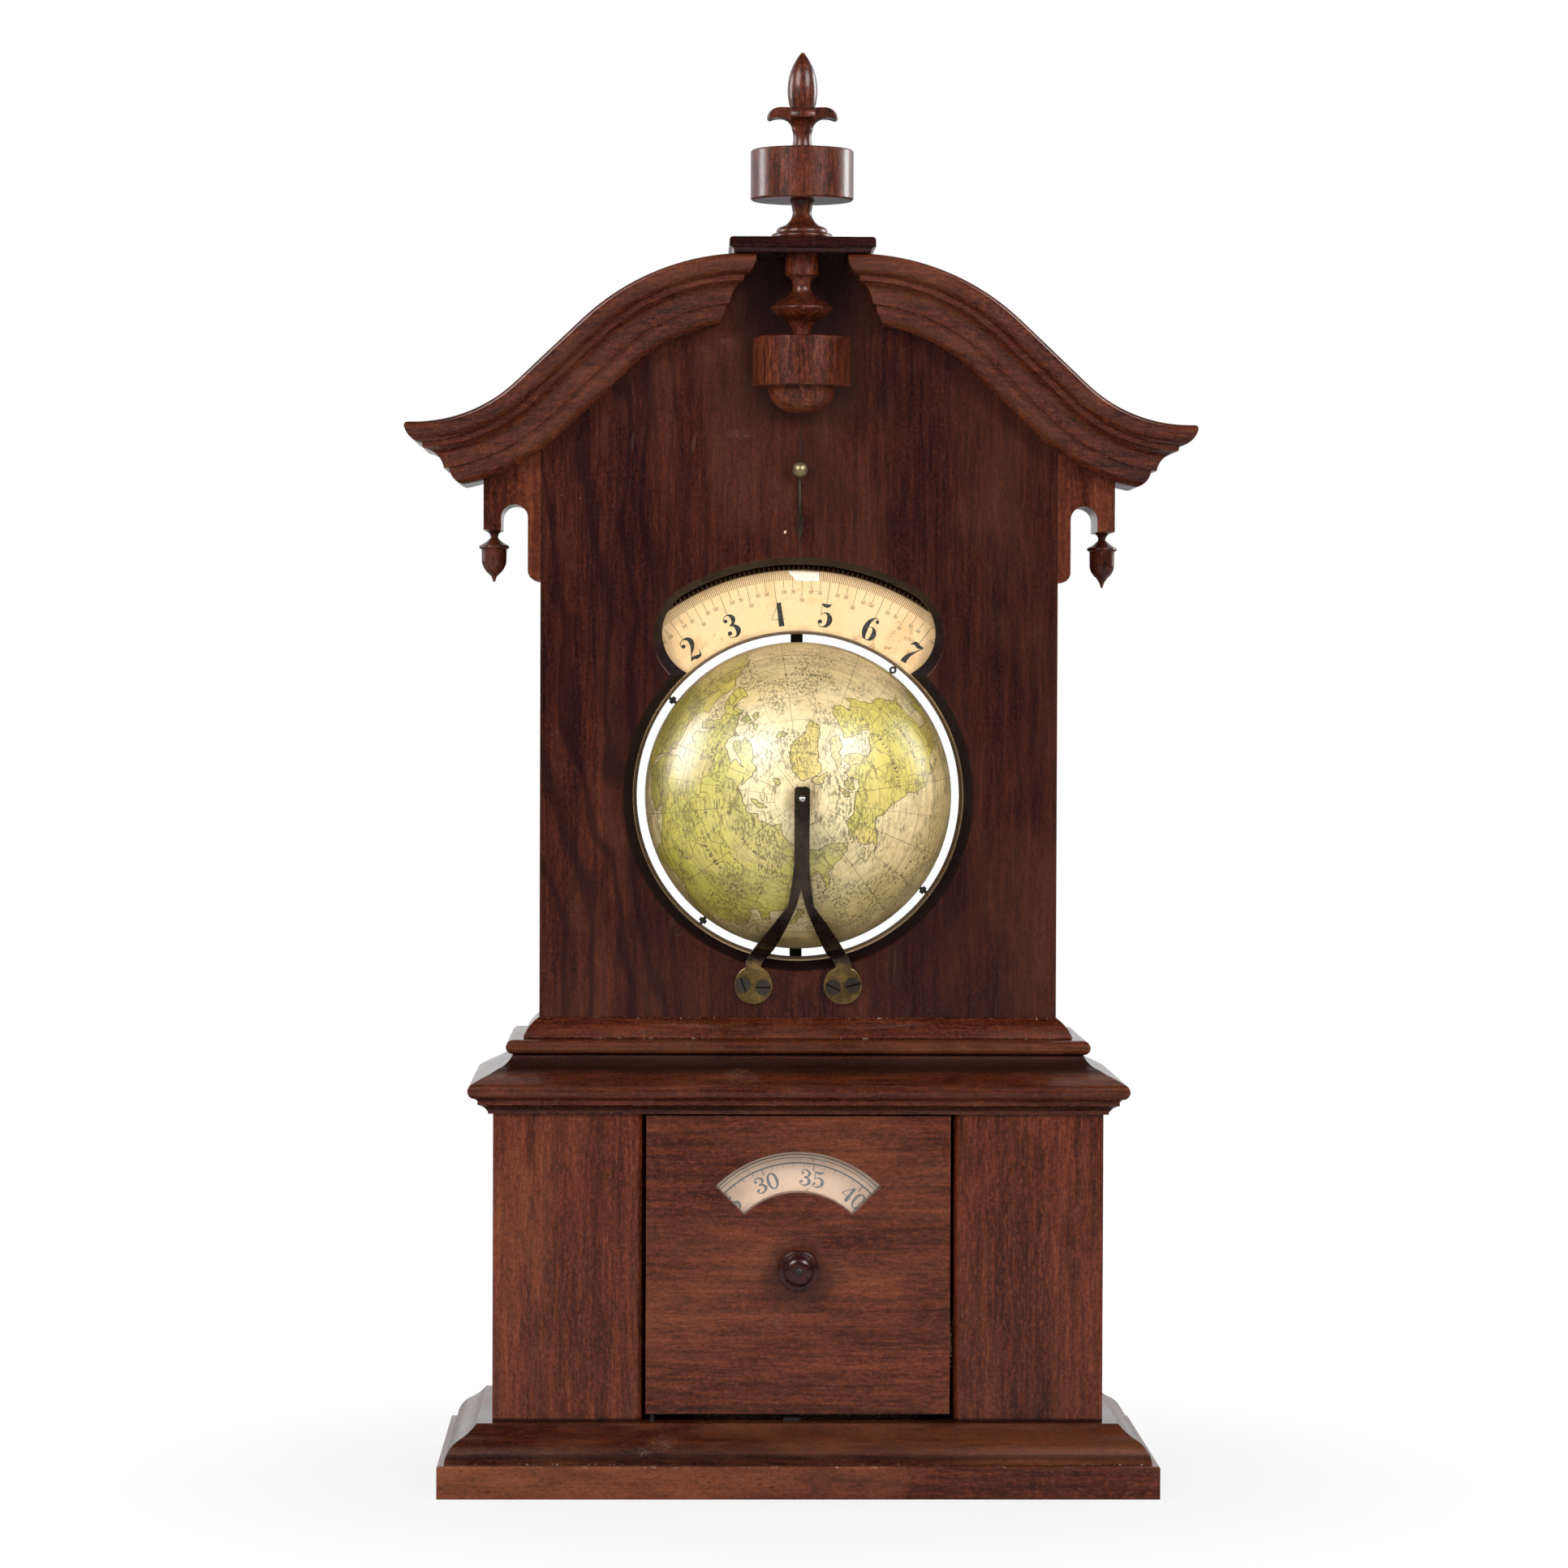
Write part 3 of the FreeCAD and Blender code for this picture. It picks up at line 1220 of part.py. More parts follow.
def balance_cock():
    """Cock over the balance, on a pillar from the escapement case."""
    z = PLATE_Z1 + 8.0
    arm = box(BALANCE_X - 2.5, BALANCE_X + 14, BALANCE_Y - 2.5, BALANCE_Y + 2.5, z, z + 1.8)
    pillar = box(BALANCE_X + 10.4, BALANCE_X + 14, BALANCE_Y - 3.5, BALANCE_Y + 3.5,
                 PLATE_Z1 + 1.0, z + 0.1)
    cock = joined(arm, pillar)
    return cock.cut(rod_z(0.7 + RUN, BALANCE_X, BALANCE_Y, z - 1, z + 1.4))


# ------------------------------------------------------------------ assembly
def bored_for_hinge(shape):
    """The piece with holes in which the two door pivots turn."""
    shape = shape.cut(rod_z(HINGE_R + RUN, HINGE_X, HINGE_Y, LEDGE_Z - 7, LEDGE_Z + 1))
    return shape.cut(rod_z(HINGE_R + RUN, HINGE_X, HINGE_Y, BODY_TOP - 1, BODY_TOP + 7))


def bored_for_screws(shape):
    return shape.cut(brass_screws())


os.makedirs("parts", exist_ok=True)
right_stile = stile()
right_cornice = cornice()
right_ear = ear_bracket()
face = front_board()
for x, z in BRIDGE_SCREWS:
    face = face.cut(rod_y(SCREW_R, x, BRIDGE_FOOT[1] + z, FACE_Y - 1, FACE_Y + 9))

PIECES = {
    "plinth_slab": plinth_slab(),
    "plinth_moulding": bored_for_screws(bored_for_hinge(plinth_moulding())),
    "stile_right": right_stile,
    "stile_left": mirrored(right_stile),
    "base_sides": base_sides(),
    "base_back": base_back(),
    "waist_moulding": bored_for_hinge(waist_moulding()),
    "waist_plate": bored_for_screws(waist_plate()),
    "foot_moulding": foot_moulding(),
    "front_board": face,
    "case_sides": case_sides(),
    "back_board": back_board(),
    "roof_board": roof_board(),
    "cornice_right": right_cornice,
    "cornice_left": mirrored(right_cornice),
    "ear_bracket_right": right_ear,
    "ear_bracket_left": mirrored(right_ear),
    "acorn_drop_right": acorn_drop(pointed_body),
    "acorn_drop_left": mirrored(acorn_drop(blunt_body)),
    "cap_plate": cap_plate(),
    "finial": finial(),
    "pendant_drop": pendant_drop(),
    "pointer_pin": pointer_pin(),
    "hour_pointer": hour_pointer(),
    "door_panel": door_panel(),
    "door_glass": door_glass(),
    "door_knob": door_knob(),
    "knob_screw": knob_screw(),
    "door_pivots": door_pivots(),
    "door_catch": door_catch(),
    "globe_shell": globe_shell(),
    "globe_arbor": globe_arbor(),
    "ring_pins": ring_pins(),
    "dial_ring": dial_ring(),
    "ring_gear": ring_gear(),
    "hour_dial": hour_dial(),
    "front_bridge": front_bridge(),
    "bridge_screws": bridge_screws(),
    "rear_bow": rear_bow(),
    "brass_screws": brass_screws(),
    "ring_pinion": ring_pinion(),
    "pinion_bevel": pinion_bevel(),
    "motion_bracket": motion_bracket(),
    "leading_off_rod": leading_off_rod(),
    "rod_bevels": rod_bevels(),
    "minute_arbor": minute_arbor(),
    "minute_bevel": minute_bevel(),
    "minute_disc": minute_disc(),
    "minute_dial": minute_dial(),
    "centre_wheel": centre_wheel(),
    "movement_plates": movement_plates(),
    "plate_pillars": plate_pillars(),
    "barrel": barrel(),
    "winding_arbor": winding_arbor(),
    "ratchet_click": ratchet_click(),
    "intermediate_wheel": intermediate_wheel(),
    "third_pinion": third_pinion(),
    "escapement_case": escapement_case(),
    "balance_wheel": balance_wheel(),
    "balance_cock": balance_cock(),
}
for name, shape in PIECES.items():
    save(shape, name)
    print(name, len(shape.Solids), shape.isValid(), round(shape.Volume))
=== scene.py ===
"""Looks of the walnut globe clock: lacquered wood, aged brass, printed dials and an
old varnished globe.  Metres, in the frame of the CAD part."""
import math
import random

import bpy
from mathutils import Matrix, Vector
from mathutils.geometry import delaunay_2d_cdt


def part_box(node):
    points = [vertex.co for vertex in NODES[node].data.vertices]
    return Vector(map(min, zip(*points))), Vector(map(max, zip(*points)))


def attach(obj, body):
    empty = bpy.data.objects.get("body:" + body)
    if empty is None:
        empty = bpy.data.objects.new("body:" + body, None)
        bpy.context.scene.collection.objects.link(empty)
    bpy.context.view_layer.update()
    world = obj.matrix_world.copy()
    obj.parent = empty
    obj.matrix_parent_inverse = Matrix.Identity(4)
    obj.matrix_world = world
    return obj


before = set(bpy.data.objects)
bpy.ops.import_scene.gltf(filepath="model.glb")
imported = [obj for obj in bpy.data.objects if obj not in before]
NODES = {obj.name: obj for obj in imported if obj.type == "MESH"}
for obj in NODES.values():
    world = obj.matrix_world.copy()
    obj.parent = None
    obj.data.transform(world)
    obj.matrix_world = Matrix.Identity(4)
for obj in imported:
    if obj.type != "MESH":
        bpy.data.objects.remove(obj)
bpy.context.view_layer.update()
MM = 0.001


def middle(node):
    low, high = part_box(node)
    return (low + high) / 2


def half_size(node):
    low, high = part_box(node)
    return (high - low) / 2


# Places that the prints and the wear need, all read from the frame
GLOBE_AT, GLOBE_R = middle("globe_shell"), half_size("globe_shell").z
DIAL_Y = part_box("hour_dial")[0].y
DIAL_AT, DIAL_R = Vector((0, DIAL_Y, GLOBE_AT.z)), half_size("hour_dial").x
MINUTE_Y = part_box("minute_dial")[0].y
MINUTE_AT, MINUTE_R = Vector((0, MINUTE_Y, middle("minute_dial").z)), half_size("minute_dial").x
FACE_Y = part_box("front_board")[0].y
SCREW_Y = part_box("bridge_screws")[0].y
PLINTH_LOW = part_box("plinth_moulding")[0].z
SLAB_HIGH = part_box("plinth_slab")[1].z
FOOT_LOW, FOOT_HIGH = (corner.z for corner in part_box("foot_moulding"))


# ---------------------------------------------------------------- materials
class Tree:
    """The nodes of one material or world."""

    def __init__(self, owner):
        owner.use_nodes = True
        self.tree = owner.node_tree
        self.tree.nodes.clear()

    def wire(self, node, inputs):
        """Gives inputs a socket to follow or a value; None leaves an input alone."""
        for name, value in inputs.items():
            if isinstance(value, bpy.types.NodeSocket):
                self.tree.links.new(value, node.inputs[name])
            elif value is not None:
                node.inputs[name].default_value = value

    def add(self, kind, inputs=None, **settings):
        node = self.tree.nodes.new(kind)
        for key, value in settings.items():
            setattr(node, key, value)
        self.wire(node, inputs or {})
        return node

    def window(self, value, low, high, to_low=0.0, to_high=1.0):
        """Carries low..high over to to_low..to_high and holds the ends."""
        inputs = dict(enumerate((value, low, high, to_low, to_high)))
        return self.add("ShaderNodeMapRange", inputs).outputs[0]

    def maths(self, kind, first, *others):
        """One operation, on a single value or from left to right on several."""
        for other in others or (0.0,):
            first = self.add("ShaderNodeMath", {0: first, 1: other}, operation=kind).outputs[0]
        return first

    def times(self, *values):
        return self.maths("MULTIPLY", *values)

    def plus(self, *values):
        return self.maths("ADD", *values)

    def minus(self, *values):
        return self.maths("SUBTRACT", *values)

    def most(self, *values):
        return self.maths("MAXIMUM", *values)

    def gap(self, a, b):
        return self.maths("ABSOLUTE", self.minus(a, b))

    def blend(self, factor, a, b):
        return self.add("ShaderNodeMix", {0: factor, 2: a, 3: b}, data_type="FLOAT").outputs[0]


class Recipe(Tree):
    """One surface material, built from its textures up."""

    def __init__(self, name):
        self.material = bpy.data.materials.new(name)
        super().__init__(self.material)
        self.shader = self.add("ShaderNodeBsdfPrincipled")
        self.output = self.add("ShaderNodeOutputMaterial", {0: self.shader.outputs[0]})
        self.place = self.add("ShaderNodeTexCoord").outputs["Object"]
        self.colour = None

    def stretched(self, scale, turn=(0, 0, 0), place=None):
        inputs = {"Vector": place or self.place, "Scale": scale, "Rotation": turn}
        return self.add("ShaderNodeMapping", inputs).outputs[0]

    def noise(self, vector, scale=1.0, detail=4.0, rough=0.55, warp=0.0, out="Fac"):
        inputs = {"Vector": vector, "Scale": scale, "Detail": detail, "Roughness": rough, "Distortion": warp}
        return self.add("ShaderNodeTexNoise", inputs).outputs[out]

    def patches(self, scale, detail, rough, low, high, to_low=0.0, to_high=1.0, place=None):
        """Noise seen through a window: soft patches with plain ground between them."""
        return self.window(self.noise(place or self.place, scale, detail, rough), low, high, to_low, to_high)

    def cells(self, vector, scale, feature="F1", out="Distance"):
        return self.add("ShaderNodeTexVoronoi", {"Vector": vector, "Scale": scale}, feature=feature).outputs[out]

    def cracks(self, vector, scale, width, strength=1.0):
        """Thin lines between cells."""
        return self.window(self.cells(vector, scale, "DISTANCE_TO_EDGE"), 0.0, width, strength, 0.0)

    def ramp(self, factor, stops):
        node = self.add("ShaderNodeValToRGB", {0: factor})
        ramp = node.color_ramp
        while len(ramp.elements) < len(stops):
            ramp.elements.new(0.5)
        for element, (at, colour) in zip(ramp.elements, stops):
            element.position = at
            element.color = (*colour, 1.0)
        return node.outputs[0]

    def mix(self, factor, a, b, kind="MIX"):
        a, b = ((*value, 1.0) if isinstance(value, tuple) else value for value in (a, b))
        return self.add("ShaderNodeMix", {0: factor, 6: a, 7: b}, data_type="RGBA", blend_type=kind).outputs[2]

    def paint(self, factor, tint, kind="MIX"):
        """A further layer on the colour so far."""
        self.colour = self.mix(factor, self.colour, tint, kind)

    def axis(self, name):
        return self.add("ShaderNodeSeparateXYZ", {0: self.place}).outputs[name]

    def away(self, a, b, squash=1.0, axes="XZ"):
        """Distance from a line that runs square to two axes, with the first squashed."""
        first = self.times(self.minus(self.axis(axes[0]), a), squash)
        second = self.minus(self.axis(axes[1]), b)
        return self.maths("SQRT", self.plus(self.times(first, first), self.times(second, second)))

    def mixed_vector(self, vector, other, amount):
        inputs = {0: other, 1: (amount, amount, amount), 2: vector}
        return self.add("ShaderNodeVectorMath", inputs, operation="MULTIPLY_ADD").outputs[0]

    def bump(self, height, strength, distance, under=None):
        inputs = {"Height": height, "Strength": strength, "Distance": distance, "Normal": under}
        return self.add("ShaderNodeBump", inputs).outputs[0]

    def softened(self, radius):
        """Normals rounded over the edges, as handled and polished work has."""
        return self.add("ShaderNodeBevel", {"Radius": radius}, samples=4).outputs[0]

    def edges(self, soft, reach=0.10):
        """1 on edges and in corners, where the rounded normal leaves the true one."""
        true = self.add("ShaderNodeNewGeometry").outputs["Normal"]
        along = self.add("ShaderNodeVectorMath", {0: soft, 1: true}, operation="DOT_PRODUCT").outputs["Value"]
        return self.window(along, 1.0 - reach, 0.995, 1.0, 0.0)

    def scratches(self, seed):
        """Sparse fine lines in two directions, as a factor."""
        ways = []
        for turn in (0.35, -0.9):
            lines = self.stretched((60.0, 60.0, 8.4), (0.3, turn, seed))
            warped = self.noise(lines, 1.7, 1, 0.4, 0.5, out="Color")
            line = self.cracks(self.mixed_vector(lines, warped, 0.35), 1.0, 0.02)
            ways.append(self.times(line, self.patches(21 + seed, 2, 0.55, 0.66, 0.74)))
        return self.most(*ways)

    def finish(self, rough, normal=None, metal=0.0, coat=0.0, coat_rough=0.1, spec=None, alpha=None):
        self.wire(self.shader, {
            "Base Color": self.colour, "Roughness": rough, "Normal": normal, "Metallic": metal, "Coat Weight": coat,
            "Coat Roughness": coat_rough, "Specular IOR Level": spec, "Alpha": alpha,
        })
        return self.material


LONG = 0.045        # how much of its pace wood's texture keeps along the grain


def walnut(name, along, seed, tone, gloss=0.27, figure=0.5, wear=1.0, amber=0.3, coat=0.14, plum=0.0,
           grime_and_shade=(), scuffs=(), dusty=(), dashes=False, knob_with_shadow=None, board=False):
    """Lacquered walnut: fine close grain, dark flecks, clouds of lighter orange, a slow
    figure, and the rubs, scratches and specks of age.

    `along` is the way of the grain, `figure` how strong the slow waves are, `amber` how
    far the lighter orange patches reach and `plum` a cooler cast in the dark parts.
    `grime_and_shade` lists heights (from, to, strength) painted darker: painted shade in hollows,
    under beads and at the feet of the stiles, with some old polish and dust in it; `scuffs` spots (x, z,
    radius) rubbed pale, all in mm, and `dusty` heights of joints where pale dust sits.  `dashes`
    adds the coarse pores of turned work and `knob_with_shadow` names a knob around which a shadow is painted.
    """
    r = Recipe(name)
    shift = (seed * 0.37, seed * 0.11, seed * 0.53)
    place = r.add("ShaderNodeVectorMath", {0: r.place, 1: shift}, operation="ADD").outputs[0]

    def drawn(pace):
        return r.stretched(tuple(pace if axis == along else 1.0 for axis in "xyz"), place=place)

    def shade(red, green, blue, cool=0.0):
        return red * tone, green * tone, (blue + cool * plum) * tone

    bend = r.noise(drawn(LONG ** 0.5), 6, 2, out="Color")
    bent = r.mixed_vector(drawn(LONG), bend, 0.004 + 0.045 * figure)
    rings = r.window(r.maths("SINE", r.times(r.noise(bent, 12, 2, 0.45), 44.0)), -1.0, 1.0)
    streak = r.noise(bent, 260, 4, 0.62)
    fine = r.noise(drawn(LONG * 1.7), 780, 3, 0.65)
    fleck = r.noise(drawn(LONG * 7.0), 1050, 2, 0.5)
    mottle = r.noise(place, 620, 2, 0.6)
    clouds = r.noise(drawn(LONG ** 0.35), 17, 4, 0.6)

    # the wood
    tint = r.plus(r.times(rings, 0.26 * figure), r.times(streak, 0.36), r.times(fine, 0.34), r.times(mottle, 0.30))
    low = 0.36 + 0.08 * figure
    deep, pale = shade(0.016, 0.0022, 0.0012, 0.0100), shade(0.200, 0.0530, 0.0190)
    mid, warm = shade(0.053, 0.0088, 0.0036, 0.0120), shade(0.100, 0.0200, 0.0078, 0.0090)
    r.colour = r.ramp(tint, [(low + 0.02, deep), (low + 0.12, mid), (low + 0.22, warm), (low + 0.37, pale)])
    r.paint(r.window(clouds, 0.50, 0.74, 0.0, amber), shade(0.30, 0.098, 0.036), "SCREEN")
    r.paint(r.window(clouds, 0.46, 0.24, 0.0, 0.55), deep)
    r.paint(r.window(fleck, 0.56, 0.66, 0.0, 0.42), (0.010, 0.0028, 0.0020))
    r.paint(r.window(fleck, 0.43, 0.34, 0.0, 0.24), pale)
    if dashes:
        pore = r.noise(r.stretched((1.0, 1.0, 0.22), place=place), 640, 1, 0.4)
        r.paint(r.window(pore, 0.60, 0.66, 0.0, 0.75), (0.012, 0.0036, 0.0024))
        r.paint(r.window(pore, 0.37, 0.30, 0.0, 0.40), pale)

    # rubs, scratches, specks of dust and worn edges
    r.paint(r.patches(46, 5, 0.7, 0.62, 0.80, 0.0, 0.15 * wear, place), pale)
    cuts = r.scratches(seed % 5 + 0.5)
    r.paint(r.times(cuts, 0.22 * wear), (0.24, 0.13, 0.09))
    specks = r.window(r.cells(place, 130), 0.030, 0.050, 1.0, 0.0)
    dust = r.times(specks, r.patches(15, 1, 0.55, 0.58, 0.70, 0.0, 0.40 * wear, place))
    r.paint(dust, (0.34, 0.22, 0.17))
    soft = r.softened(0.7 * MM)
    worn = r.times(r.edges(soft), r.patches(240, 4, 0.7, 0.52, 0.66, 0.0, 0.55 * wear, place))
    r.paint(worn, shade(0.36, 0.17, 0.085))

    # dirt and painted shade in their own places; the belts of heights below are painted shade in hollows, under beads
    # and at the feet of the stiles, with some old dirt in them
    for bottom, top, strength in grime_and_shade:
        half = (top - bottom) / 2
        sway = min(1.0, 0.12 * half) * MM
        height = r.plus(r.axis("Z"), r.patches(40, 3, 0.55, 0.3, 0.7, -sway, sway, place))
        belt = r.window(r.gap(height, (bottom + top) / 2 * MM), half * 0.5 * MM, half * MM, strength, 0.0)
        r.paint(belt, (0.008, 0.0030, 0.0023))
    for joint in dusty:
        line = r.window(r.gap(r.axis("Z"), joint), 0.2 * MM, 0.5 * MM, 1.0, 0.0)
        crumbs = r.window(r.noise(r.stretched((1.0, 0.2, 0.2), place=place), 420, 4, 0.8), 0.57, 0.66)
        crumbs = r.times(crumbs, r.patches(21, 2, 0.55, 0.46, 0.56, 0.15, 0.85, place))
        r.paint(r.times(line, crumbs), (0.60, 0.46, 0.36))
    # a painted shadow around the knob, reaching further below it
    if knob_with_shadow:
        knob = middle(knob_with_shadow)
        ragged = r.patches(60, 3, 0.55, 0.3, 0.7, -2 * MM, 2 * MM, place)
        away = r.plus(r.away(knob.x, knob.z - 3 * MM), ragged)
        r.paint(r.window(away, 8 * MM, 21 * MM, 0.62, 0.0), (0.010, 0.0036, 0.0028))
    for x, z, radius in scuffs:
        grains = r.plus(r.patches(700, 4, 0.8, 0.52, 0.64), 0.08)
        spot = r.window(r.away(x * MM, z * MM, squash=0.42), 0.1 * radius * MM, radius * MM, 0.55, 0.0)
        r.paint(r.times(spot, grains), (0.30, 0.17, 0.12))
    if board:
        board_marks(r, place, deep)

    rough = r.window(clouds, 0.3, 0.75, gloss - 0.04, gloss + 0.07)
    rough = r.plus(rough, r.times(r.window(fleck, 0.55, 0.70), 0.08))
    height = r.minus(r.plus(r.times(streak, 0.35), r.times(mottle, 0.25)), r.times(cuts, 0.7))
    normal = r.bump(r.noise(place, 28, 3), 0.06, 1.0 * MM, r.bump(height, 0.16, 0.10 * MM, soft))
    return r.finish(rough, normal, 0.0, coat, 0.12 if coat < 0.2 else 0.26, spec=0.23)


def board_marks(r, place, deep):
    """What is painted on the front board alone: a dark figure on the left, a right half painted
    darker, a painted shadow about the pendant and the rim of the globe's opening painted near black."""
    sway = r.window(r.noise(r.stretched((1.0, 1.0, 0.35), place=place), 26, 2), 0.3, 0.7, -12 * MM, 12 * MM)
    wave = r.plus(r.axis("X"), r.times(r.axis("Z"), 0.13), sway)
    bands = r.window(r.maths("SINE", r.times(wave, 420.0)), 0.25, 0.95, 0.0, 0.62)
    left = r.window(r.axis("X"), -78 * MM, -38 * MM, 1.0, 0.0)
    r.paint(r.times(bands, left), deep)
    dull = r.window(r.noise(r.stretched((1.0, 1.0, 0.5), place=place), 11, 3, 0.5), 0.46, 0.68, 0.0, 0.42)
    r.paint(dull, deep)
    # the board painted darker towards the right
    r.paint(r.window(r.axis("X"), 15 * MM, 55 * MM, 0.0, 0.30), deep)
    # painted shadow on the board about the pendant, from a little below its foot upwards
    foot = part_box("pendant_drop")[0].z
    pendant_shadow = r.times(r.window(r.gap(r.axis("X"), middle("pendant_drop").x), 18 * MM, 32 * MM, 0.75, 0.0),
                   r.window(r.axis("Z"), foot - 8 * MM, foot + 12 * MM))
    r.paint(pendant_shadow, (0.009, 0.0032, 0.0030))
    # the bevel and rim of the globe's opening painted near black
    rim = r.times(r.window(r.axis("Y"), FACE_Y + 0.35 * MM, FACE_Y + 0.9 * MM, 0.0, 0.92),
                  r.window(r.away(0, GLOBE_AT.z), 124 * MM, 127 * MM, 1.0, 0.0))
    r.paint(rim, (0.0080, 0.0034, 0.0054))


def metal(name, clean, dirty, rough, spots=0.5, polish=0.9, slot=None):
    """Old metal: a clean colour, tarnish in clouds and spots, fine rubs, bare edges.

    `slot` is a depth: what lies further back than that is painted near black.
    """
    r = Recipe(name)
    patina = r.patches(55, 6, 0.68, 0.58 - 0.25 * spots, 0.80 - 0.15 * spots)
    pits = r.window(r.cells(r.place, 620), 0.10, 0.24, 0.9, 0.0)
    pits = r.times(pits, r.patches(130, 2, 0.55, 0.45, 0.62))
    mask = r.most(patina, r.times(pits, spots))
    streaks = r.noise(r.stretched((1, 1, 0.06)), 900, 3, 0.6)
    shade = r.ramp(r.window(streaks, 0.3, 0.7, 0.86, 1.1), [(0.0, (0, 0, 0)), (1.0, (1, 1, 1))])
    r.colour = r.mix(mask, clean, dirty)
    r.paint(1.0, shade, "MULTIPLY")
    base = r.plus(r.times(mask, 0.28), rough, r.window(streaks, 0.35, 0.65, -0.04, 0.05))
    soft = r.softened(0.25 * MM)
    rubbed = r.times(r.edges(soft, 0.2), r.patches(160, 3, 0.55, 0.35, 0.6, 0.15, 0.6))
    r.paint(rubbed, tuple(min(0.9, 1.5 * c + 0.02) for c in clean))
    if slot is not None:
        # what lies deeper than the slot depth is painted near black
        r.paint(r.window(r.axis("Y"), slot, slot + 0.25 * MM, 0.0, 0.96), (0.004, 0.0035, 0.003))
    normal = r.bump(r.plus(streaks, r.times(mask, 0.8)), 0.18, 0.04 * MM, soft)
    return r.finish(base, normal, r.window(mask, 0, 1, polish, polish * 0.55))


def bridge_metal():
    """Dark bronze arms with rubbed ridges that run into dull brass feet."""
    r = Recipe("bridge bronze")
    height = r.minus(r.axis("Z"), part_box("front_bridge")[0].z)
    wobble = r.patches(90, 4, 0.55, 0.3, 0.7, -2.5 * MM, 2.5 * MM)
    foot = r.window(r.plus(height, wobble), 17 * MM, 22 * MM, 1.0, 0.0)
    clouds = r.patches(95, 6, 0.7, 0.38, 0.66)
    arm = r.mix(clouds, (0.034, 0.026, 0.022), (0.085, 0.058, 0.040))
    disc = r.mix(clouds, (0.40, 0.25, 0.085), (0.065, 0.042, 0.019))
    grime_and_shade = r.window(r.cells(r.place, 420), 0.08, 0.22, 0.8, 0.0)
    r.colour = r.mix(foot, arm, disc)
    r.paint(r.times(grime_and_shade, 0.5), (0.02, 0.016, 0.012))
    soft = r.softened(0.5 * MM)
    rubbed = r.times(r.edges(soft, 0.2), r.patches(130, 3, 0.55, 0.30, 0.6, 0.25, 0.85))
    r.paint(rubbed, r.mix(foot, (0.42, 0.32, 0.22), (0.72, 0.56, 0.26)))
    normal = r.bump(r.noise(r.place, 420, 4), 0.16, 0.08 * MM, soft)
    return r.finish(r.window(clouds, 0.0, 1.0, 0.24, 0.38), normal, 0.92)


def paper(name, centre, radius, pale, brown, edge, inner=None):
    """Old dial paper: foxed, toned towards its rims."""
    r = Recipe(name)
    out = r.away(centre.x, centre.z)
    ragged = r.plus(out, r.patches(120, 4, 0.55, 0.3, 0.7, -1.4 * MM, 1.4 * MM))
    toned = r.window(ragged, radius - edge, radius, 0.0, 0.35)
    if inner is not None:
        toned = r.most(toned, r.window(ragged, inner, inner + edge, 0.6, 0.0))
    r.colour = r.mix(r.patches(26, 5, 0.6, 0.35, 0.75, 0.0, 0.55), pale, brown)
    r.paint(toned, tuple(c * 0.55 for c in brown))
    fox = r.times(r.patches(230, 3, 0.7, 0.58, 0.68, 0.0, 0.65), r.patches(31, 2, 0.55, 0.40, 0.55))
    r.paint(fox, (0.38, 0.17, 0.06))
    r.paint(r.patches(52, 4, 0.6, 0.53, 0.72, 0.0, 0.55), (0.60, 0.32, 0.12))
    if inner is not None:
        r.paint(r.window(out, inner + 0.6 * MM, inner + 1.0 * MM, 0.88, 0.0), (0.085, 0.048, 0.028))
    fibres = r.noise(r.stretched((1, 1, 0.3)), 1500, 2)
    r.paint(r.window(fibres, 0.4, 0.7, 0.0, 0.12), tuple(c * 0.7 for c in brown))
    return r.finish(r.window(fibres, 0.3, 0.7, 0.42, 0.6), r.bump(fibres, 0.12, 0.05 * MM))


def ink(name, colour, fade=0.25):
    """Printing ink that has worn thin in places."""
    r = Recipe(name)
    worn = r.patches(900, 3, 0.7, 0.5, 0.72, 0.0, fade)
    r.colour = r.mix(worn, colour, tuple(0.45 * c + 0.24 for c in colour))
    return r.finish(r.window(worn, 0.0, 1.0, 0.38, 0.6))


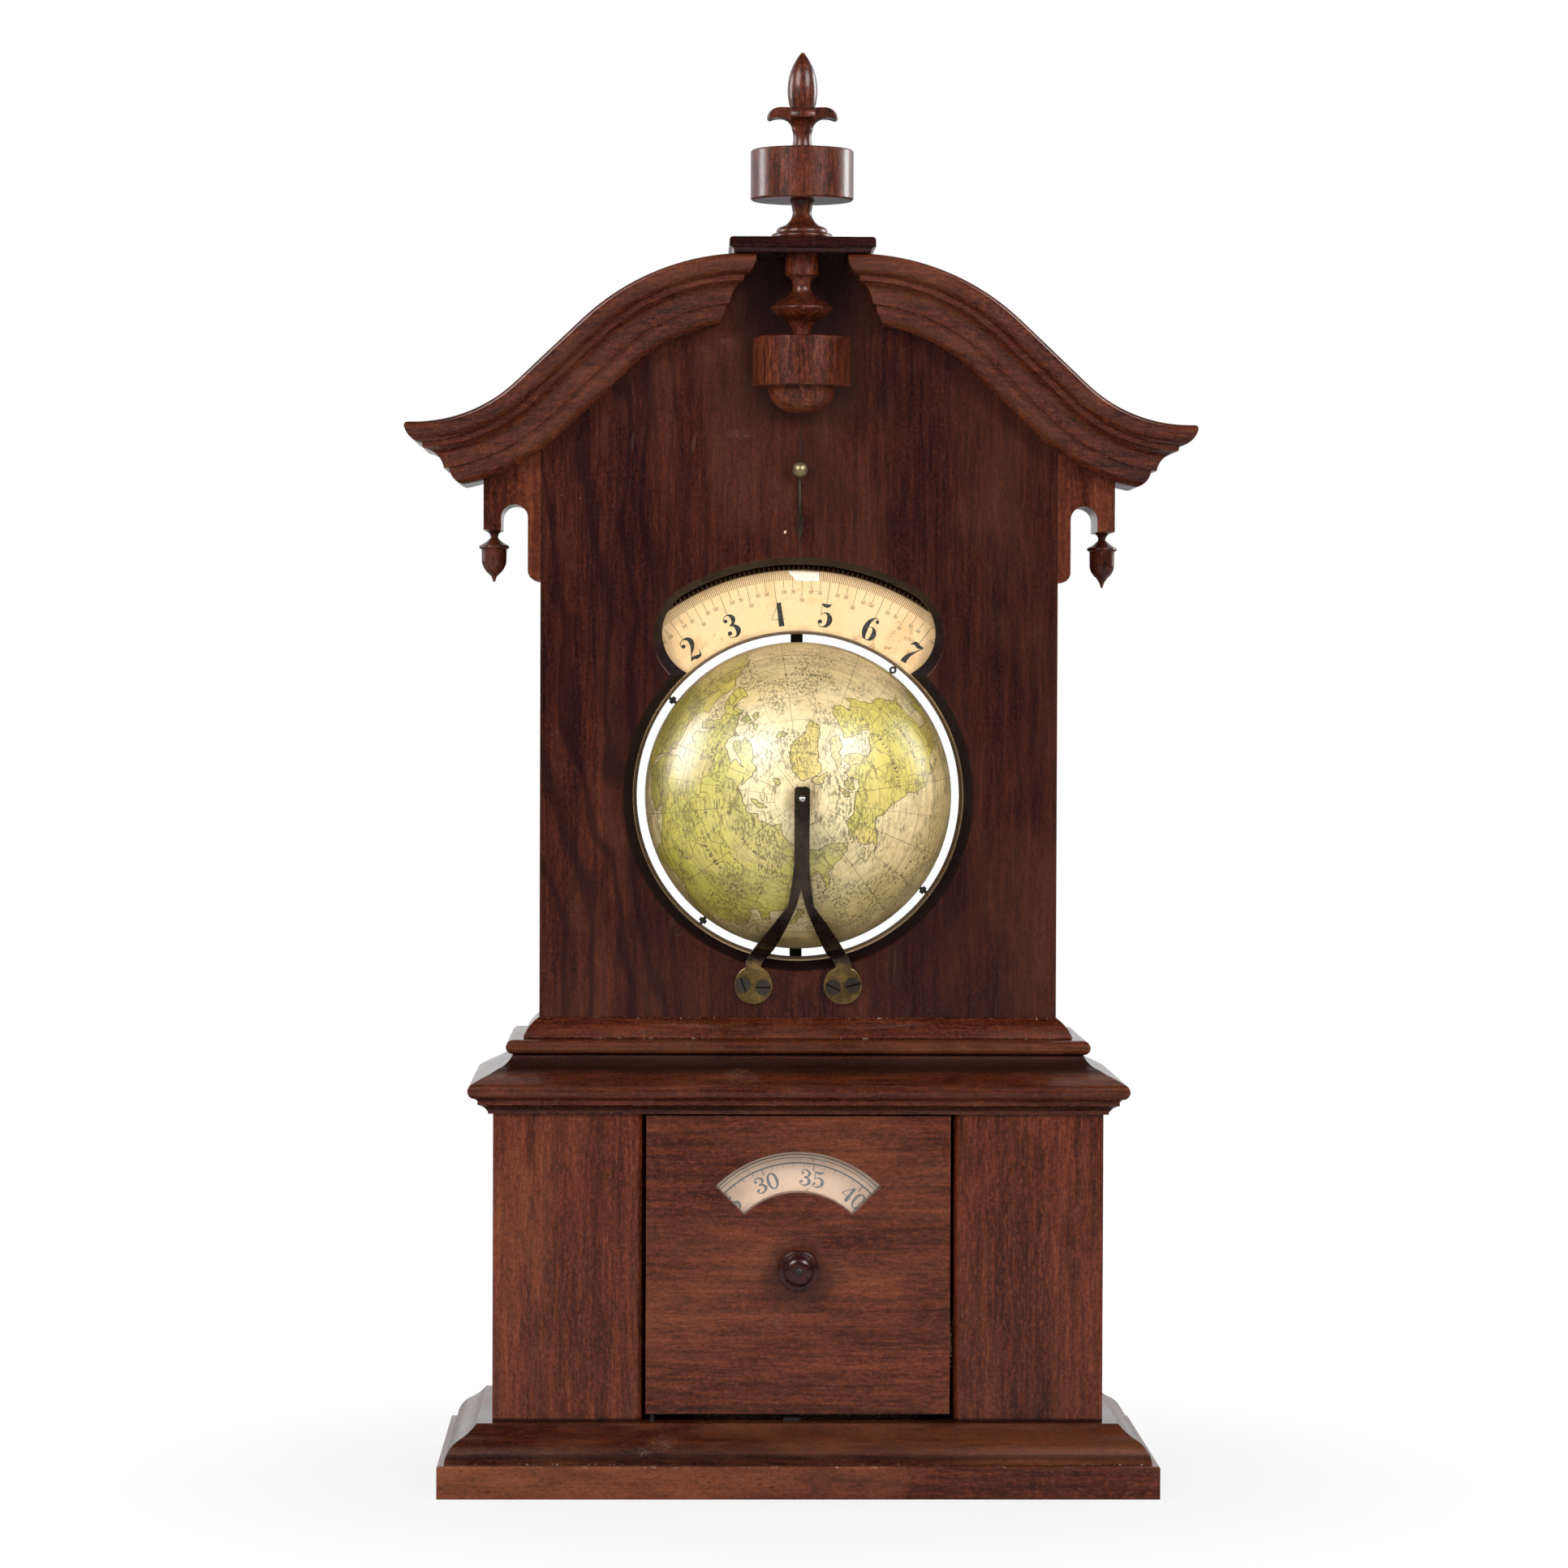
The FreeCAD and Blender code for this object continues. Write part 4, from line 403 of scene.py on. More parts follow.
def map_print(name, stops, wash):
    """Hand-tinted, engraved and varnished map paper on the globe.

    `stops` are the tints that the patches of the map take and `wash` a tint in clouds.
    """
    sea = name.startswith("sea")
    r = Recipe(name)
    warp = r.noise(r.place, 60, 4, 0.6, out="Color")
    patch = r.add("ShaderNodeSeparateColor", {0: r.cells(r.mixed_vector(r.place, warp, 0.020), 38, out="Color")})
    blot = r.noise(r.place, 33, 5, 0.65)
    r.colour = r.ramp(patch.outputs[0], stops)
    r.paint(r.window(blot, 0.35, 0.72, 0.0, 0.4), wash)
    r.paint(r.patches(12, 3, 0.5, 0.46, 0.72, 0.0, 0.40), (0.56, 0.38, 0.12))

    # a cream bloom about the pole, browner towards the rim that the ring covers
    back = r.minus(r.axis("Y"), GLOBE_AT.y)
    ragged = r.patches(45, 4, 0.65, 0.3, 0.7, -14 * MM, 14 * MM)
    bloom = r.window(r.plus(back, ragged), -GLOBE_R, -GLOBE_R + 26 * MM, 0.55 if sea else 0.18, 0.0)
    r.paint(bloom, (0.96, 0.84, 0.52))
    belt = r.maths("ABSOLUTE", back)
    r.paint(r.window(r.minus(belt, ragged), 46 * MM, -4 * MM, 0.0, 0.50), (0.42, 0.30, 0.055))

    # a smudge under the bridge, darker low down, a blue-green stain beside the arm
    smudge = r.window(r.plus(back, r.times(ragged, 0.03)), -GLOBE_R, -GLOBE_R + 0.7 * MM, 0.65, 0.0)
    r.paint(smudge, (0.30, 0.17, 0.06))
    darker_low_down = r.times(r.window(r.axis("Z"), GLOBE_AT.z - 16 * MM, GLOBE_AT.z - 56 * MM),
                   r.patches(24, 4, 0.6, 0.42, 0.62, 0.0, 0.55))
    r.paint(darker_low_down, (0.34, 0.26, 0.075))
    spot = r.plus(r.away(9 * MM, GLOBE_AT.z - 24 * MM), r.times(ragged, 0.5))
    stain = r.times(r.window(spot, 6 * MM, 22 * MM, 0.50, 0.0), r.window(back, -20 * MM, -30 * MM))
    r.paint(stain, (0.24, 0.25, 0.14))

    # engraving: hills, rivers and creeks, and fine strokes along the circles near the rim
    hatch = r.noise(r.stretched((1, 1, 0.25), (0.4, 0.7, 0.2)), 900, 3, 0.75)
    hills = r.times(r.window(hatch, 0.48, 0.57), r.patches(70, 4, 0.55, 0.42, 0.53))
    rivers = r.times(r.cracks(r.mixed_vector(r.place, warp, 0.012), 105, 0.045), r.patches(45, 2, 0.55, 0.42, 0.50))
    creeks = r.times(r.cracks(r.mixed_vector(r.place, warp, 0.010), 260, 0.06, 0.8),
                     r.patches(38, 3, 0.55, 0.50, 0.62))
    if sea:
        rivers, creeks = r.times(rivers, 0.30), r.times(creeks, 0.45)
    r.paint(r.times(r.most(hills, rivers, creeks), 0.74), (0.080, 0.058, 0.018))
    strokes = r.window(r.noise(r.stretched((0.04, 1.0, 0.04)), 620, 3, 0.6), 0.50, 0.62)
    strokes = r.times(strokes, r.window(belt, 72 * MM, 24 * MM, 0.04, 0.42))
    r.paint(strokes, (0.17, 0.11, 0.035))
    r.paint(r.patches(170, 4, 0.7, 0.60, 0.72, 0.0, 0.60), (0.10, 0.062, 0.022))

    dents = r.bump(r.noise(r.place, 40, 3), 0.08, 1.0 * MM)
    crackle = r.cells(r.mixed_vector(r.place, warp, 0.02), 190, "DISTANCE_TO_EDGE")
    normal = r.bump(r.window(crackle, 0.0, 0.05), 0.05, 0.05 * MM, dents)
    return r.finish(r.window(blot, 0.3, 0.8, 0.42, 0.52), normal, 0.0, 0.9, 0.34, spec=0.3)


def clear_glass(name):
    r = Recipe(name)
    smear = r.patches(60, 4, 0.55, 0.45, 0.8, 0.02, 0.10)
    normal = r.bump(r.noise(r.place, 25, 2), 0.04, 0.4 * MM)
    r.colour = (0.92, 0.95, 0.94, 1.0)
    return r.finish(smear, normal, alpha=r.window(smear, 0.02, 0.10, 0.07, 0.13))


def grained(name, scale, detail, one, other, rough, spec=None):
    """A plain surface, mottled between two colours."""
    r = Recipe(name)
    r.colour = r.mix(r.noise(r.place, scale, detail), one, other)
    r.finish(rough, spec=spec)
    return r


INK = {
    "black": ink("black ink", (0.022, 0.020, 0.016)),
    "brown": ink("brown ink", (0.12, 0.085, 0.045), 0.4),
    "comb": ink("comb ink", (0.19, 0.125, 0.060), 0.3),
    "faint": ink("faint ink", (0.34, 0.23, 0.12), 0.4),
    "blue": ink("blue-grey ink", (0.075, 0.075, 0.078), 0.25),
}

# Each finish with the nodes that have it
DRESSING = (
    (walnut("walnut board", "z", 1, 0.61, 0.27, 0.12, 1.1, 0.28, coat=0.10, plum=0.18,
            scuffs=((-30, 520, 3), (-36, 566, 2)), board=True), "front_board"),
    (walnut("walnut side", "z", 4, 0.90, 0.28),
     "case_sides", "base_sides", "base_back", "ear_bracket_left", "ear_bracket_right", "roof_board"),
    (walnut("walnut back", "z", 33, 0.60, 0.34, 0.3, 0.8, 0.20), "back_board"),
    (walnut("turned drop", "z", 41, 0.72, 0.30, 0.15, 1.0, 0.25, dashes=True), "acorn_drop_left", "acorn_drop_right"),
    # a belt of painted shadow along the foot of each stile, where it meets the ledge
    (walnut("walnut stile", "z", 7, 1.28, 0.28, 0.12, 0.8, 0.30, grime_and_shade=((33.5, 36.0, 0.8),)), "stile_left"),
    (walnut("walnut second stile", "z", 13, 1.20, 0.28, 0.28, 0.8, 0.26, grime_and_shade=((33.5, 36.0, 0.8),)), "stile_right"),
    # the door carries a painted shadow around and below its knob
    (walnut("walnut door", "x", 3, 1.16, 0.28, 0.15, 0.8, 0.30, knob_with_shadow="door_knob"), "door_panel"),
    (walnut("walnut moulding", "x", 9, 0.95, 0.24, 0.10, 1.5, 0.45,
            dusty=(FOOT_LOW + 0.4 * MM, FOOT_HIGH - 0.5 * MM)), "foot_moulding"),
    # belts of painted shade in the hollow of the ogee and under the bead, with some old dirt
    (walnut("walnut waist", "x", 12, 0.86, 0.24, 0.10, 1.5, 0.35,
            grime_and_shade=((203.8, 215.0, 0.84), (213.0, 215.2, 0.95), (187.0, 190.4, 0.55)),
            scuffs=((-30, 204.5, 4), (-22, 203.5, 2), (-140, 203, 1.5))), "waist_moulding", "waist_plate"),
    (walnut("walnut plinth", "x", 16, 0.60, 0.25, 0.15, 1.9, 0.60, grime_and_shade=((18.0, 21.5, 0.5),),
            dusty=(PLINTH_LOW + 0.3 * MM,), scuffs=((-66, 26, 4), (-76, 22, 2.5))), "plinth_moulding"),
    (walnut("walnut slab", "x", 21, 1.12, 0.29, 0.15, 1.8, 0.55, dusty=(SLAB_HIGH - 0.3 * MM,)), "plinth_slab"),
    (walnut("walnut cornice", "x", 6, 1.02, 0.23, 0.05, 1.3, 0.30), "cornice_left", "cornice_right"),
    (walnut("turned walnut", "z", 18, 1.08, 0.33, 0.15, 1.0, 0.28, coat=0.12, dashes=True), "finial", "pendant_drop"),
    (walnut("dark walnut", "x", 25, 0.30, 0.24, 0.1, 0.7, 0.0, plum=0.4), "cap_plate"),
    (walnut("dark turned knob", "y", 28, 0.42, 0.20, 0.1, 0.9, 0.0, coat=0.3, plum=0.3), "door_knob"),
    (metal("old brass", (0.55, 0.38, 0.15), (0.16, 0.11, 0.05), 0.28, 0.6),
     "brass_screws", "motion_bracket", "rod_bevels", "pinion_bevel", "minute_bevel", "minute_disc"),
    (metal("coppery old brass", (0.34, 0.17, 0.075), (0.075, 0.040, 0.020), 0.34, 0.6), "dial_ring", "ring_gear"),
    (metal("bright brass", (0.76, 0.56, 0.25), (0.30, 0.20, 0.08), 0.18, 0.25), "centre_wheel", "movement_plates",
     "plate_pillars", "barrel", "intermediate_wheel", "escapement_case", "balance_wheel", "balance_cock"),
    (metal("dull brass", (0.30, 0.235, 0.13), (0.11, 0.080, 0.045), 0.34, 0.5), "pointer_pin"),
    (metal("old screw heads", (0.080, 0.061, 0.044), (0.030, 0.024, 0.018), 0.34, 0.6, slot=SCREW_Y + 0.30 * MM),
     "bridge_screws"),
    (metal("dark bronze", (0.115, 0.080, 0.052), (0.035, 0.026, 0.020), 0.26, 0.55), "hour_pointer"),
    (bridge_metal(), "front_bridge"),
    (metal("black iron", (0.045, 0.042, 0.040), (0.016, 0.013, 0.012), 0.42, 0.5, 0.6), "rear_bow"),
    (metal("steel", (0.50, 0.50, 0.51), (0.16, 0.13, 0.11), 0.24, 0.3), "globe_arbor", "ring_pinion",
     "leading_off_rod", "minute_arbor", "winding_arbor", "ratchet_click", "third_pinion"),
    (metal("dark steel", (0.050, 0.043, 0.038), (0.020, 0.017, 0.015), 0.42, 0.5, 0.7),
     "door_pivots", "knob_screw", "ring_pins", "door_catch"),
    (paper("hour paper", DIAL_AT, DIAL_R, (0.93, 0.66, 0.35), (0.85, 0.52, 0.23), 3 * MM, 81.0 * MM), "hour_dial"),
    (paper("minute paper", MINUTE_AT, MINUTE_R, (0.94, 0.64, 0.43), (0.84, 0.52, 0.32), 6 * MM), "minute_dial"),
    (clear_glass("door glass"), "door_glass"),
)


def dress(material, *nodes):
    for node in nodes:
        NODES[node].data.materials.clear()
        NODES[node].data.materials.append(material)


# -------------------------------------------------------------------- prints
# Digits in a bold old-style face.  Each is a list of pen strokes of points
# (x, y, width) on a body one unit high, and of round dots (x, y, radius).
DIGITS = {
    "0": ([[(0.30, 0.99, 0.03), (0.15, 0.86, 0.12), (0.095, 0.50, 0.17), (0.15, 0.14, 0.12), (0.30, 0.01, 0.03),
            (0.45, 0.14, 0.12), (0.505, 0.50, 0.17), (0.45, 0.86, 0.12), (0.30, 0.99, 0.03)]], []),
    "1": ([[(0.32, 0.0, 0.17), (0.32, 1.0, 0.17)], [(0.12, 0.78, 0.03), (0.20, 0.88, 0.05), (0.28, 0.97, 0.08)],
           [(0.14, 0.015, 0.03), (0.50, 0.015, 0.03)]], []),
    "2": ([[(0.06, 0.76, 0.02), (0.10, 0.91, 0.03), (0.28, 0.98, 0.04), (0.46, 0.90, 0.11), (0.52, 0.73, 0.17),
            (0.44, 0.52, 0.13), (0.24, 0.30, 0.05), (0.05, 0.05, 0.03)],
           [(0.05, 0.05, 0.04), (0.19, 0.12, 0.10), (0.36, 0.06, 0.13), (0.52, 0.07, 0.08), (0.60, 0.27, 0.02)]],
          [(0.145, 0.74, 0.088)]),
    "3": ([[(0.05, 0.79, 0.02), (0.12, 0.93, 0.03), (0.28, 0.98, 0.04), (0.42, 0.90, 0.11), (0.47, 0.76, 0.15),
            (0.40, 0.60, 0.10), (0.22, 0.535, 0.03)],
           [(0.22, 0.535, 0.03), (0.42, 0.47, 0.10), (0.51, 0.28, 0.18), (0.43, 0.09, 0.11), (0.26, 0.02, 0.04),
            (0.10, 0.08, 0.03), (0.04, 0.24, 0.02)]],
          [(0.14, 0.77, 0.082), (0.135, 0.235, 0.090)]),
    "4": ([[(0.38, 0.98, 0.03), (0.03, 0.31, 0.025)], [(0.03, 0.30, 0.025), (0.60, 0.30, 0.025)],
           [(0.42, 0.0, 0.19), (0.40, 0.99, 0.15)]], []),
    "5": ([[(0.12, 0.98, 0.03), (0.22, 0.92, 0.11), (0.38, 0.91, 0.12), (0.52, 1.0, 0.02)],
           [(0.12, 0.98, 0.03), (0.12, 0.50, 0.03)],
           [(0.12, 0.50, 0.03), (0.28, 0.61, 0.04), (0.45, 0.54, 0.12), (0.52, 0.33, 0.18), (0.44, 0.11, 0.12),
            (0.26, 0.02, 0.04), (0.10, 0.08, 0.03), (0.04, 0.23, 0.02)]],
          [(0.135, 0.225, 0.088)]),
    "6": ([[(0.53, 0.86, 0.02), (0.42, 0.97, 0.03), (0.27, 0.93, 0.07), (0.13, 0.70, 0.14), (0.10, 0.38, 0.18),
            (0.17, 0.10, 0.11), (0.31, 0.01, 0.03), (0.46, 0.10, 0.11), (0.52, 0.29, 0.17), (0.46, 0.49, 0.11),
            (0.32, 0.575, 0.03), (0.18, 0.50, 0.02)]],
          [(0.455, 0.855, 0.075)]),
    "7": ([[(0.05, 1.0, 0.02), (0.06, 0.76, 0.02)],
           [(0.06, 0.78, 0.02), (0.20, 0.93, 0.13), (0.38, 0.90, 0.14), (0.58, 0.98, 0.03)],
           [(0.58, 0.98, 0.03), (0.44, 0.70, 0.05), (0.30, 0.42, 0.12), (0.25, 0.17, 0.18), (0.26, 0.0, 0.20)]], []),
    "8": ([[(0.30, 0.55, 0.04), (0.15, 0.65, 0.10), (0.12, 0.78, 0.12), (0.17, 0.93, 0.07), (0.30, 0.985, 0.03),
            (0.43, 0.93, 0.07), (0.48, 0.78, 0.12), (0.45, 0.65, 0.08), (0.30, 0.55, 0.04)],
           [(0.30, 0.55, 0.04), (0.12, 0.42, 0.12), (0.08, 0.26, 0.15), (0.14, 0.08, 0.10), (0.30, 0.015, 0.03),
            (0.46, 0.08, 0.10), (0.52, 0.26, 0.16), (0.47, 0.42, 0.12), (0.30, 0.55, 0.04)]], []),
}
DIGITS["9"] = (
    [[(0.62 - x, 1.0 - y, w) for x, y, w in stroke] for stroke in DIGITS["6"][0]],
    [(0.62 - x, 1.0 - y, w) for x, y, w in DIGITS["6"][1]],
)
DIGIT_WIDE = 0.62


def smooth(points, steps):
    """Points along a curve through the given ones."""
    if len(points) == 2:
        return points
    out = []
    ends = [points[0], *points, points[-1]]
    for a, b, c, d in zip(ends, ends[1:], ends[2:], ends[3:]):
        for i in range(steps):
            t = i / steps
            out.append(tuple(
                0.5 * (2 * q + (s - p) * t + (2 * p - 5 * q + 4 * s - u) * t * t + (3 * q - p - 3 * s + u) * t ** 3)
                for p, q, s, u in zip(a, b, c, d)
            ))
    return out + [points[-1]]


def scene_object(name, data):
    thing = bpy.data.objects.new(name, data)
    bpy.context.scene.collection.objects.link(thing)
    return thing


def lay_mesh(name, points, faces, material, body):
    name = name.replace(" ", "_")
    mesh = bpy.data.meshes.new(name)
    mesh.from_pydata([tuple(p) for p in points], [], faces)
    mesh.update()
    piece = scene_object(name, mesh)
    mesh.materials.append(material)
    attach(piece, body)
    return piece


class Strips:
    """Points and faces of many thin strips, gathered for one mesh."""

    def __init__(self):
        self.points = []
        self.faces = []

    def strip(self, sides, closed=False):
        """A strip through pairs of side points."""
        start, count = len(self.points), len(sides)
        for pair in sides:
            self.points += pair
        for i in range(count if closed else count - 1):
            a, b = start + 2 * i, start + 2 * ((i + 1) % count)
            self.faces.append((a, a + 1, b + 1, b))


def beside(route, i, closed=False):
    """The places before and after one of a route."""
    count = len(route)
    return (route[i - 1], route[(i + 1) % count]) if closed else (route[max(i - 1, 0)], route[min(i + 1, count - 1)])


class Print(Strips):
    """Flat ink in a plane that faces the front."""

    def polygon(self, points):
        start = len(self.points)
        self.points += points
        self.faces.append(tuple(range(start, start + len(points))))

    def ribbon(self, stroke):
        """A stroke of points (x, y, width)."""
        sides = []
        for i, (x, y, w) in enumerate(stroke):
            behind, ahead = beside(stroke, i)
            dx, dy = ahead[0] - behind[0], ahead[1] - behind[1]
            size = math.hypot(dx, dy) or 1.0
            nx, ny = -dy / size * w / 2, dx / size * w / 2
            sides.append(((x + nx, y + ny), (x - nx, y - ny)))
        self.strip(sides)

    def digits(self, text, place, size, steps=6, hair=None, bold=1.0, wide=1.0, fine=1.0):
        """Digits centred on the origin, then moved by `place`; hairlines may go to another print."""
        step = DIGIT_WIDE * size * wide
        for n, letter in enumerate(text):
            strokes, dots = DIGITS[letter]
            shift = -step * len(text) / 2 + n * step
            for stroke in strokes:
                curve = [
                    (*place(shift + x * size * wide, (y - 0.5) * size), w * size * (bold if w > 0.07 else fine))
                    for x, y, w in smooth(stroke, steps)
                ]
                thin = hair is not None and max(w for x, y, w in stroke) < 0.04
                (hair if thin else self).ribbon(curve)
            for x, y, r in dots:
                self.polygon([
                    place(shift + (x * wide + r * math.cos(a)) * size, (y - 0.5 + r * math.sin(a)) * size)
                    for a in [math.tau * k / 14 for k in range(14)]
                ])

    def ring(self, r, width, steps=480):
        turns = [math.tau * i / steps for i in range(steps + 1)]
        self.ribbon([(r * math.sin(a), r * math.cos(a), width) for a in turns])

    def ray(self, angle, r0, r1, width):
        s, c = math.sin(angle), math.cos(angle)
        self.ribbon([(r0 * s, r0 * c, width), (r1 * s, r1 * c, width)])

    def lay(self, name, at, material, body, slot, lift=0.04 * MM):
        """Makes the mesh, a little before `at`."""
        points = [(at.x + x, at.y - lift, at.z + y) for x, y in self.points]
        lay_mesh(name, points, self.faces, material, body)


def around(angle, r):
    """Places a mark `r` out at a clockwise angle, upright to the centre."""
    s, c = math.sin(angle), math.cos(angle)
    return lambda x, y: ((r + y) * s + x * c, (r + y) * c - x * s)


def hour_prints():
    """24-hour ring: comb of two-minute ticks, ten-minute lines with small figures, big hours."""
    comb, track, hairs, figures = Print(), Print(), Print(), Print()
    first = math.radians(-66.6)     # the hour 12 from which the figures count
    hour = math.tau / 24
    comb_foot = 107.0 * MM
    for n in range(24 * 30):
        comb.ray(first + n * hour / 30, comb_foot, 111.5 * MM, 0.36 * MM)
    track.ring(80.9 * MM, 0.45 * MM)
    hairs.ring(111.8 * MM, 0.40 * MM)
    for n in range(24):
        angle = first + n * hour
        track.ray(angle, 96.4 * MM, comb_foot, 0.28 * MM)
        figures.digits(str((n - 1) % 12 + 1), around(angle, 90.4 * MM), 12.0 * MM, hair=hairs, bold=1.22)
        for tens in range(1, 6):
            part = angle + tens * hour / 6
            foot = 98.4 if tens == 3 else 102.5
            track.ray(part, foot * MM, comb_foot, 0.24 * MM)
            track.digits(str(tens * 10), around(part, (foot - 1.3) * MM), 2.0 * MM, 2)
    comb.lay("minute comb", DIAL_AT, INK["comb"], "globe", "dial_paper")
    track.lay("hour track", DIAL_AT, INK["brown"], "globe", "dial_paper")
    hairs.lay("hour hairlines", DIAL_AT, INK["faint"], "globe", "dial_paper")
    figures.lay("hour figures", DIAL_AT, INK["black"], "globe", "dial_paper", 0.06 * MM)


def minute_prints():
    """Minute disc: two thin rings, a heavy ring with ticks, figures by fives."""
    marks = Print()
    first = math.radians(-20.6 - 180.0)     # where the minute 0 stands at rest
    minute = math.tau / 60
    scale = 0.4046 * MM
    for r, width in ((136, 0.5), (132, 0.35), (125.5, 0.75)):
        marks.ring(r * scale, width * MM, 300)
    for n in range(60):
        foot, width = (121, 0.3) if n % 5 else (117, 0.5)
        marks.ray(first + n * minute, foot * scale, 125.5 * scale, width * MM)
    for n in range(12):
        place = around(first + n * 5 * minute, 107.5 * scale)
        marks.digits(str(n * 5 or 60), place, 7.9 * MM, bold=1.15, wide=1.3, fine=1.9)
    marks.lay("minute marks", MINUTE_AT, INK["blue"], "minute_train", "dial_paper")


# --------------------------------------------------------------------- globe
PRIME = math.radians(127.0)     # turn of the zero meridian, anticlockwise from +X
LAND_LIFT, INK_LIFT = 0.03 * MM, 0.07 * MM


def on_globe(lon, lat, lift):
    """A point on the globe, whose north pole faces the front."""
    a = PRIME + math.radians(lon)
    c = math.radians(90.0 - lat)
    r = GLOBE_R + lift
    return GLOBE_AT + Vector((math.sin(c) * math.cos(a), -math.cos(c), math.sin(c) * math.sin(a))) * r


# Rough outlines of the lands as longitude and latitude, drawn
LANDS = {
    "north america": [
        (-168, 66), (-156, 71), (-141, 70), (-128, 70), (-115, 68), (-108, 68), (-95, 72), (-94, 68), (-86, 69),
        (-82, 67), (-87, 64), (-94, 61), (-93, 58), (-85, 55), (-82, 52), (-79, 54), (-77, 60), (-72, 62), (-65, 59),
        (-62, 57), (-56, 52), (-60, 50), (-66, 50), (-65, 48), (-61, 46), (-66, 44), (-70, 43), (-74, 40), (-76, 35),
        (-81, 31), (-80, 26), (-82, 29), (-85, 30), (-90, 29), (-97, 27), (-97, 22), (-95, 18), (-90, 21), (-87, 21),
        (-88, 16), (-83, 15), (-83, 10), (-78, 9), (-80, 7), (-85, 10), (-92, 14), (-97, 16), (-105, 20), (-107, 24),
        (-112, 30), (-115, 31), (-110, 23), (-115, 28), (-117, 33), (-122, 37), (-124, 42), (-124, 47), (-128, 51),
        (-133, 56), (-140, 60), (-148, 60), (-153, 58), (-164, 54.5), (-158, 58), (-163, 60), (-165, 63), (-161, 65)],
    "greenland": [
        (-73, 78), (-60, 82), (-35, 83.5), (-18, 80), (-20, 74), (-24, 70), (-33, 68), (-40, 65), (-43, 60),
        (-48, 61), (-53, 66), (-54, 70), (-58, 75), (-68, 76)],
    "eurasia": [
        (-9, 43), (-9, 37), (-5, 36), (0, 39), (4, 43), (9, 44), (12, 42), (16, 38), (18, 40), (13, 45), (19, 42),
        (23, 37), (26, 40), (28, 37), (36, 37), (35, 30), (39, 21), (43, 13), (52, 17), (59, 22), (56, 26), (50, 29),
        (57, 27), (66, 25), (72, 21), (73, 15), (77, 8), (80, 13), (85, 20), (91, 22), (95, 16), (98, 10),
        (103, 2), (104, 4), (100, 13), (105, 9), (109, 13), (107, 20), (113, 22), (121, 28), (121, 35), (118, 38),
        (122, 40), (126, 35), (129, 36), (128, 40), (135, 44), (141, 52), (136, 54), (143, 59), (156, 61), (156, 51),
        (163, 57), (163, 60), (178, 63), (190, 66), (180, 69), (160, 70), (140, 73), (127, 73), (113, 76), (104, 78),
        (98, 76), (86, 74), (80, 72), (73, 73), (68, 69), (60, 69), (52, 68), (44, 66), (41, 66), (33, 67), (41, 67),
        (30, 70), (20, 70), (13, 66), (6, 62), (6, 58), (10, 59), (13, 56), (16, 57), (18, 60), (21, 63), (25, 65.5),
        (22, 61), (28, 60), (22, 57), (19, 54), (10, 54), (8, 56), (8, 53.5), (3, 51), (-4, 48.5), (-1, 44)],
    "africa": [
        (-6, 35), (10, 37), (11, 34), (20, 31), (32, 31), (35, 27), (39, 16), (43, 11), (51, 12), (47, 4), (40, -3),
        (39, -10), (35, -20), (33, -27), (27, -34), (19, -34), (15, -27), (12, -17), (13, -8), (9, 0), (9, 4),
        (-4, 5), (-9, 5), (-13, 9), (-17, 14), (-17, 21), (-10, 29)],
    "south america": [
        (-78, 8), (-72, 12), (-62, 10), (-51, 4), (-50, 0), (-35, -6), (-39, -15), (-41, -22), (-48, -27),
        (-57, -36), (-65, -41), (-68, -50), (-68, -55), (-75, -50), (-73, -37), (-71, -20), (-76, -14), (-81, -6),
        (-80, 1)],
    "australia": [
        (114, -22), (122, -18), (129, -15), (136, -12), (141, -17), (143, -11), (146, -19), (153, -26), (150, -37),
        (140, -38), (131, -32), (115, -34)],
    "antarctica": [(lon, -70 - 4 * math.sin(math.radians(3 * lon))) for lon in range(-180, 180, 15)],
    "baffin": [(-62, 66.5), (-73, 71), (-89, 73.5), (-84, 70), (-76, 68), (-73, 64.5), (-66, 62.5)],
    "ellesmere": [(-62, 82.5), (-85, 82.5), (-92, 80.5), (-80, 76.3)],
    "victoria": [(-105, 69), (-117, 70), (-115, 73), (-104, 73)],
    "banks": [(-125, 72), (-122, 74.5), (-114, 76), (-108, 75.5), (-116, 73.5)],
    "iceland": [(-24, 65.5), (-21, 66), (-15, 66), (-14, 65), (-18, 63.5), (-22, 64)],
    "britain": [(-5, 50), (1, 51.5), (-1, 54), (-3, 58.5), (-6, 57), (-4, 54)],
    "ireland": [(-10, 52), (-6, 52.3), (-6, 55), (-9, 54.5)],
    "spitsbergen": [(12, 79), (20, 80.5), (27, 80), (18, 77)],
    "nova zembla": [(53, 71), (58, 74), (68, 77), (66, 75.5), (57, 71.5)],
    "japan": [(131, 32), (136, 34), (141, 36), (142, 40), (145, 43), (141, 45), (139, 38), (132, 34.5)],
    "sumatra": [(95, 5), (105, -6), (102, -4), (98, 1)],
    "borneo": [(109, 1), (117, 7), (118, 1), (114, -4), (110, -3)],
    "new guinea": [(131, -1), (141, -3), (150, -10), (143, -8), (138, -8)],
    "madagascar": [(44, -24), (44, -16), (50, -13), (47, -25)],
    "new zealand": [(167, -46), (173, -41), (178, -38), (174, -36), (175, -42)],
}


def coast(points, seed, levels=3):
    """The outline with its sides broken into small bays and capes."""
    chance = random.Random(seed)
    for _ in range(levels):
        finer = []
        for a, b in zip(points, points[1:] + points[:1]):
            squeeze = max(0.2, math.cos(math.radians((a[1] + b[1]) / 2)))
            dx, dy = (b[0] - a[0]) * squeeze, b[1] - a[1]
            push = chance.uniform(-0.17, 0.17)
            finer.append(a)
            finer.append(((a[0] + b[0]) / 2 - dy * push / squeeze, (a[1] + b[1]) / 2 + dx * push))
        points = finer
    return points


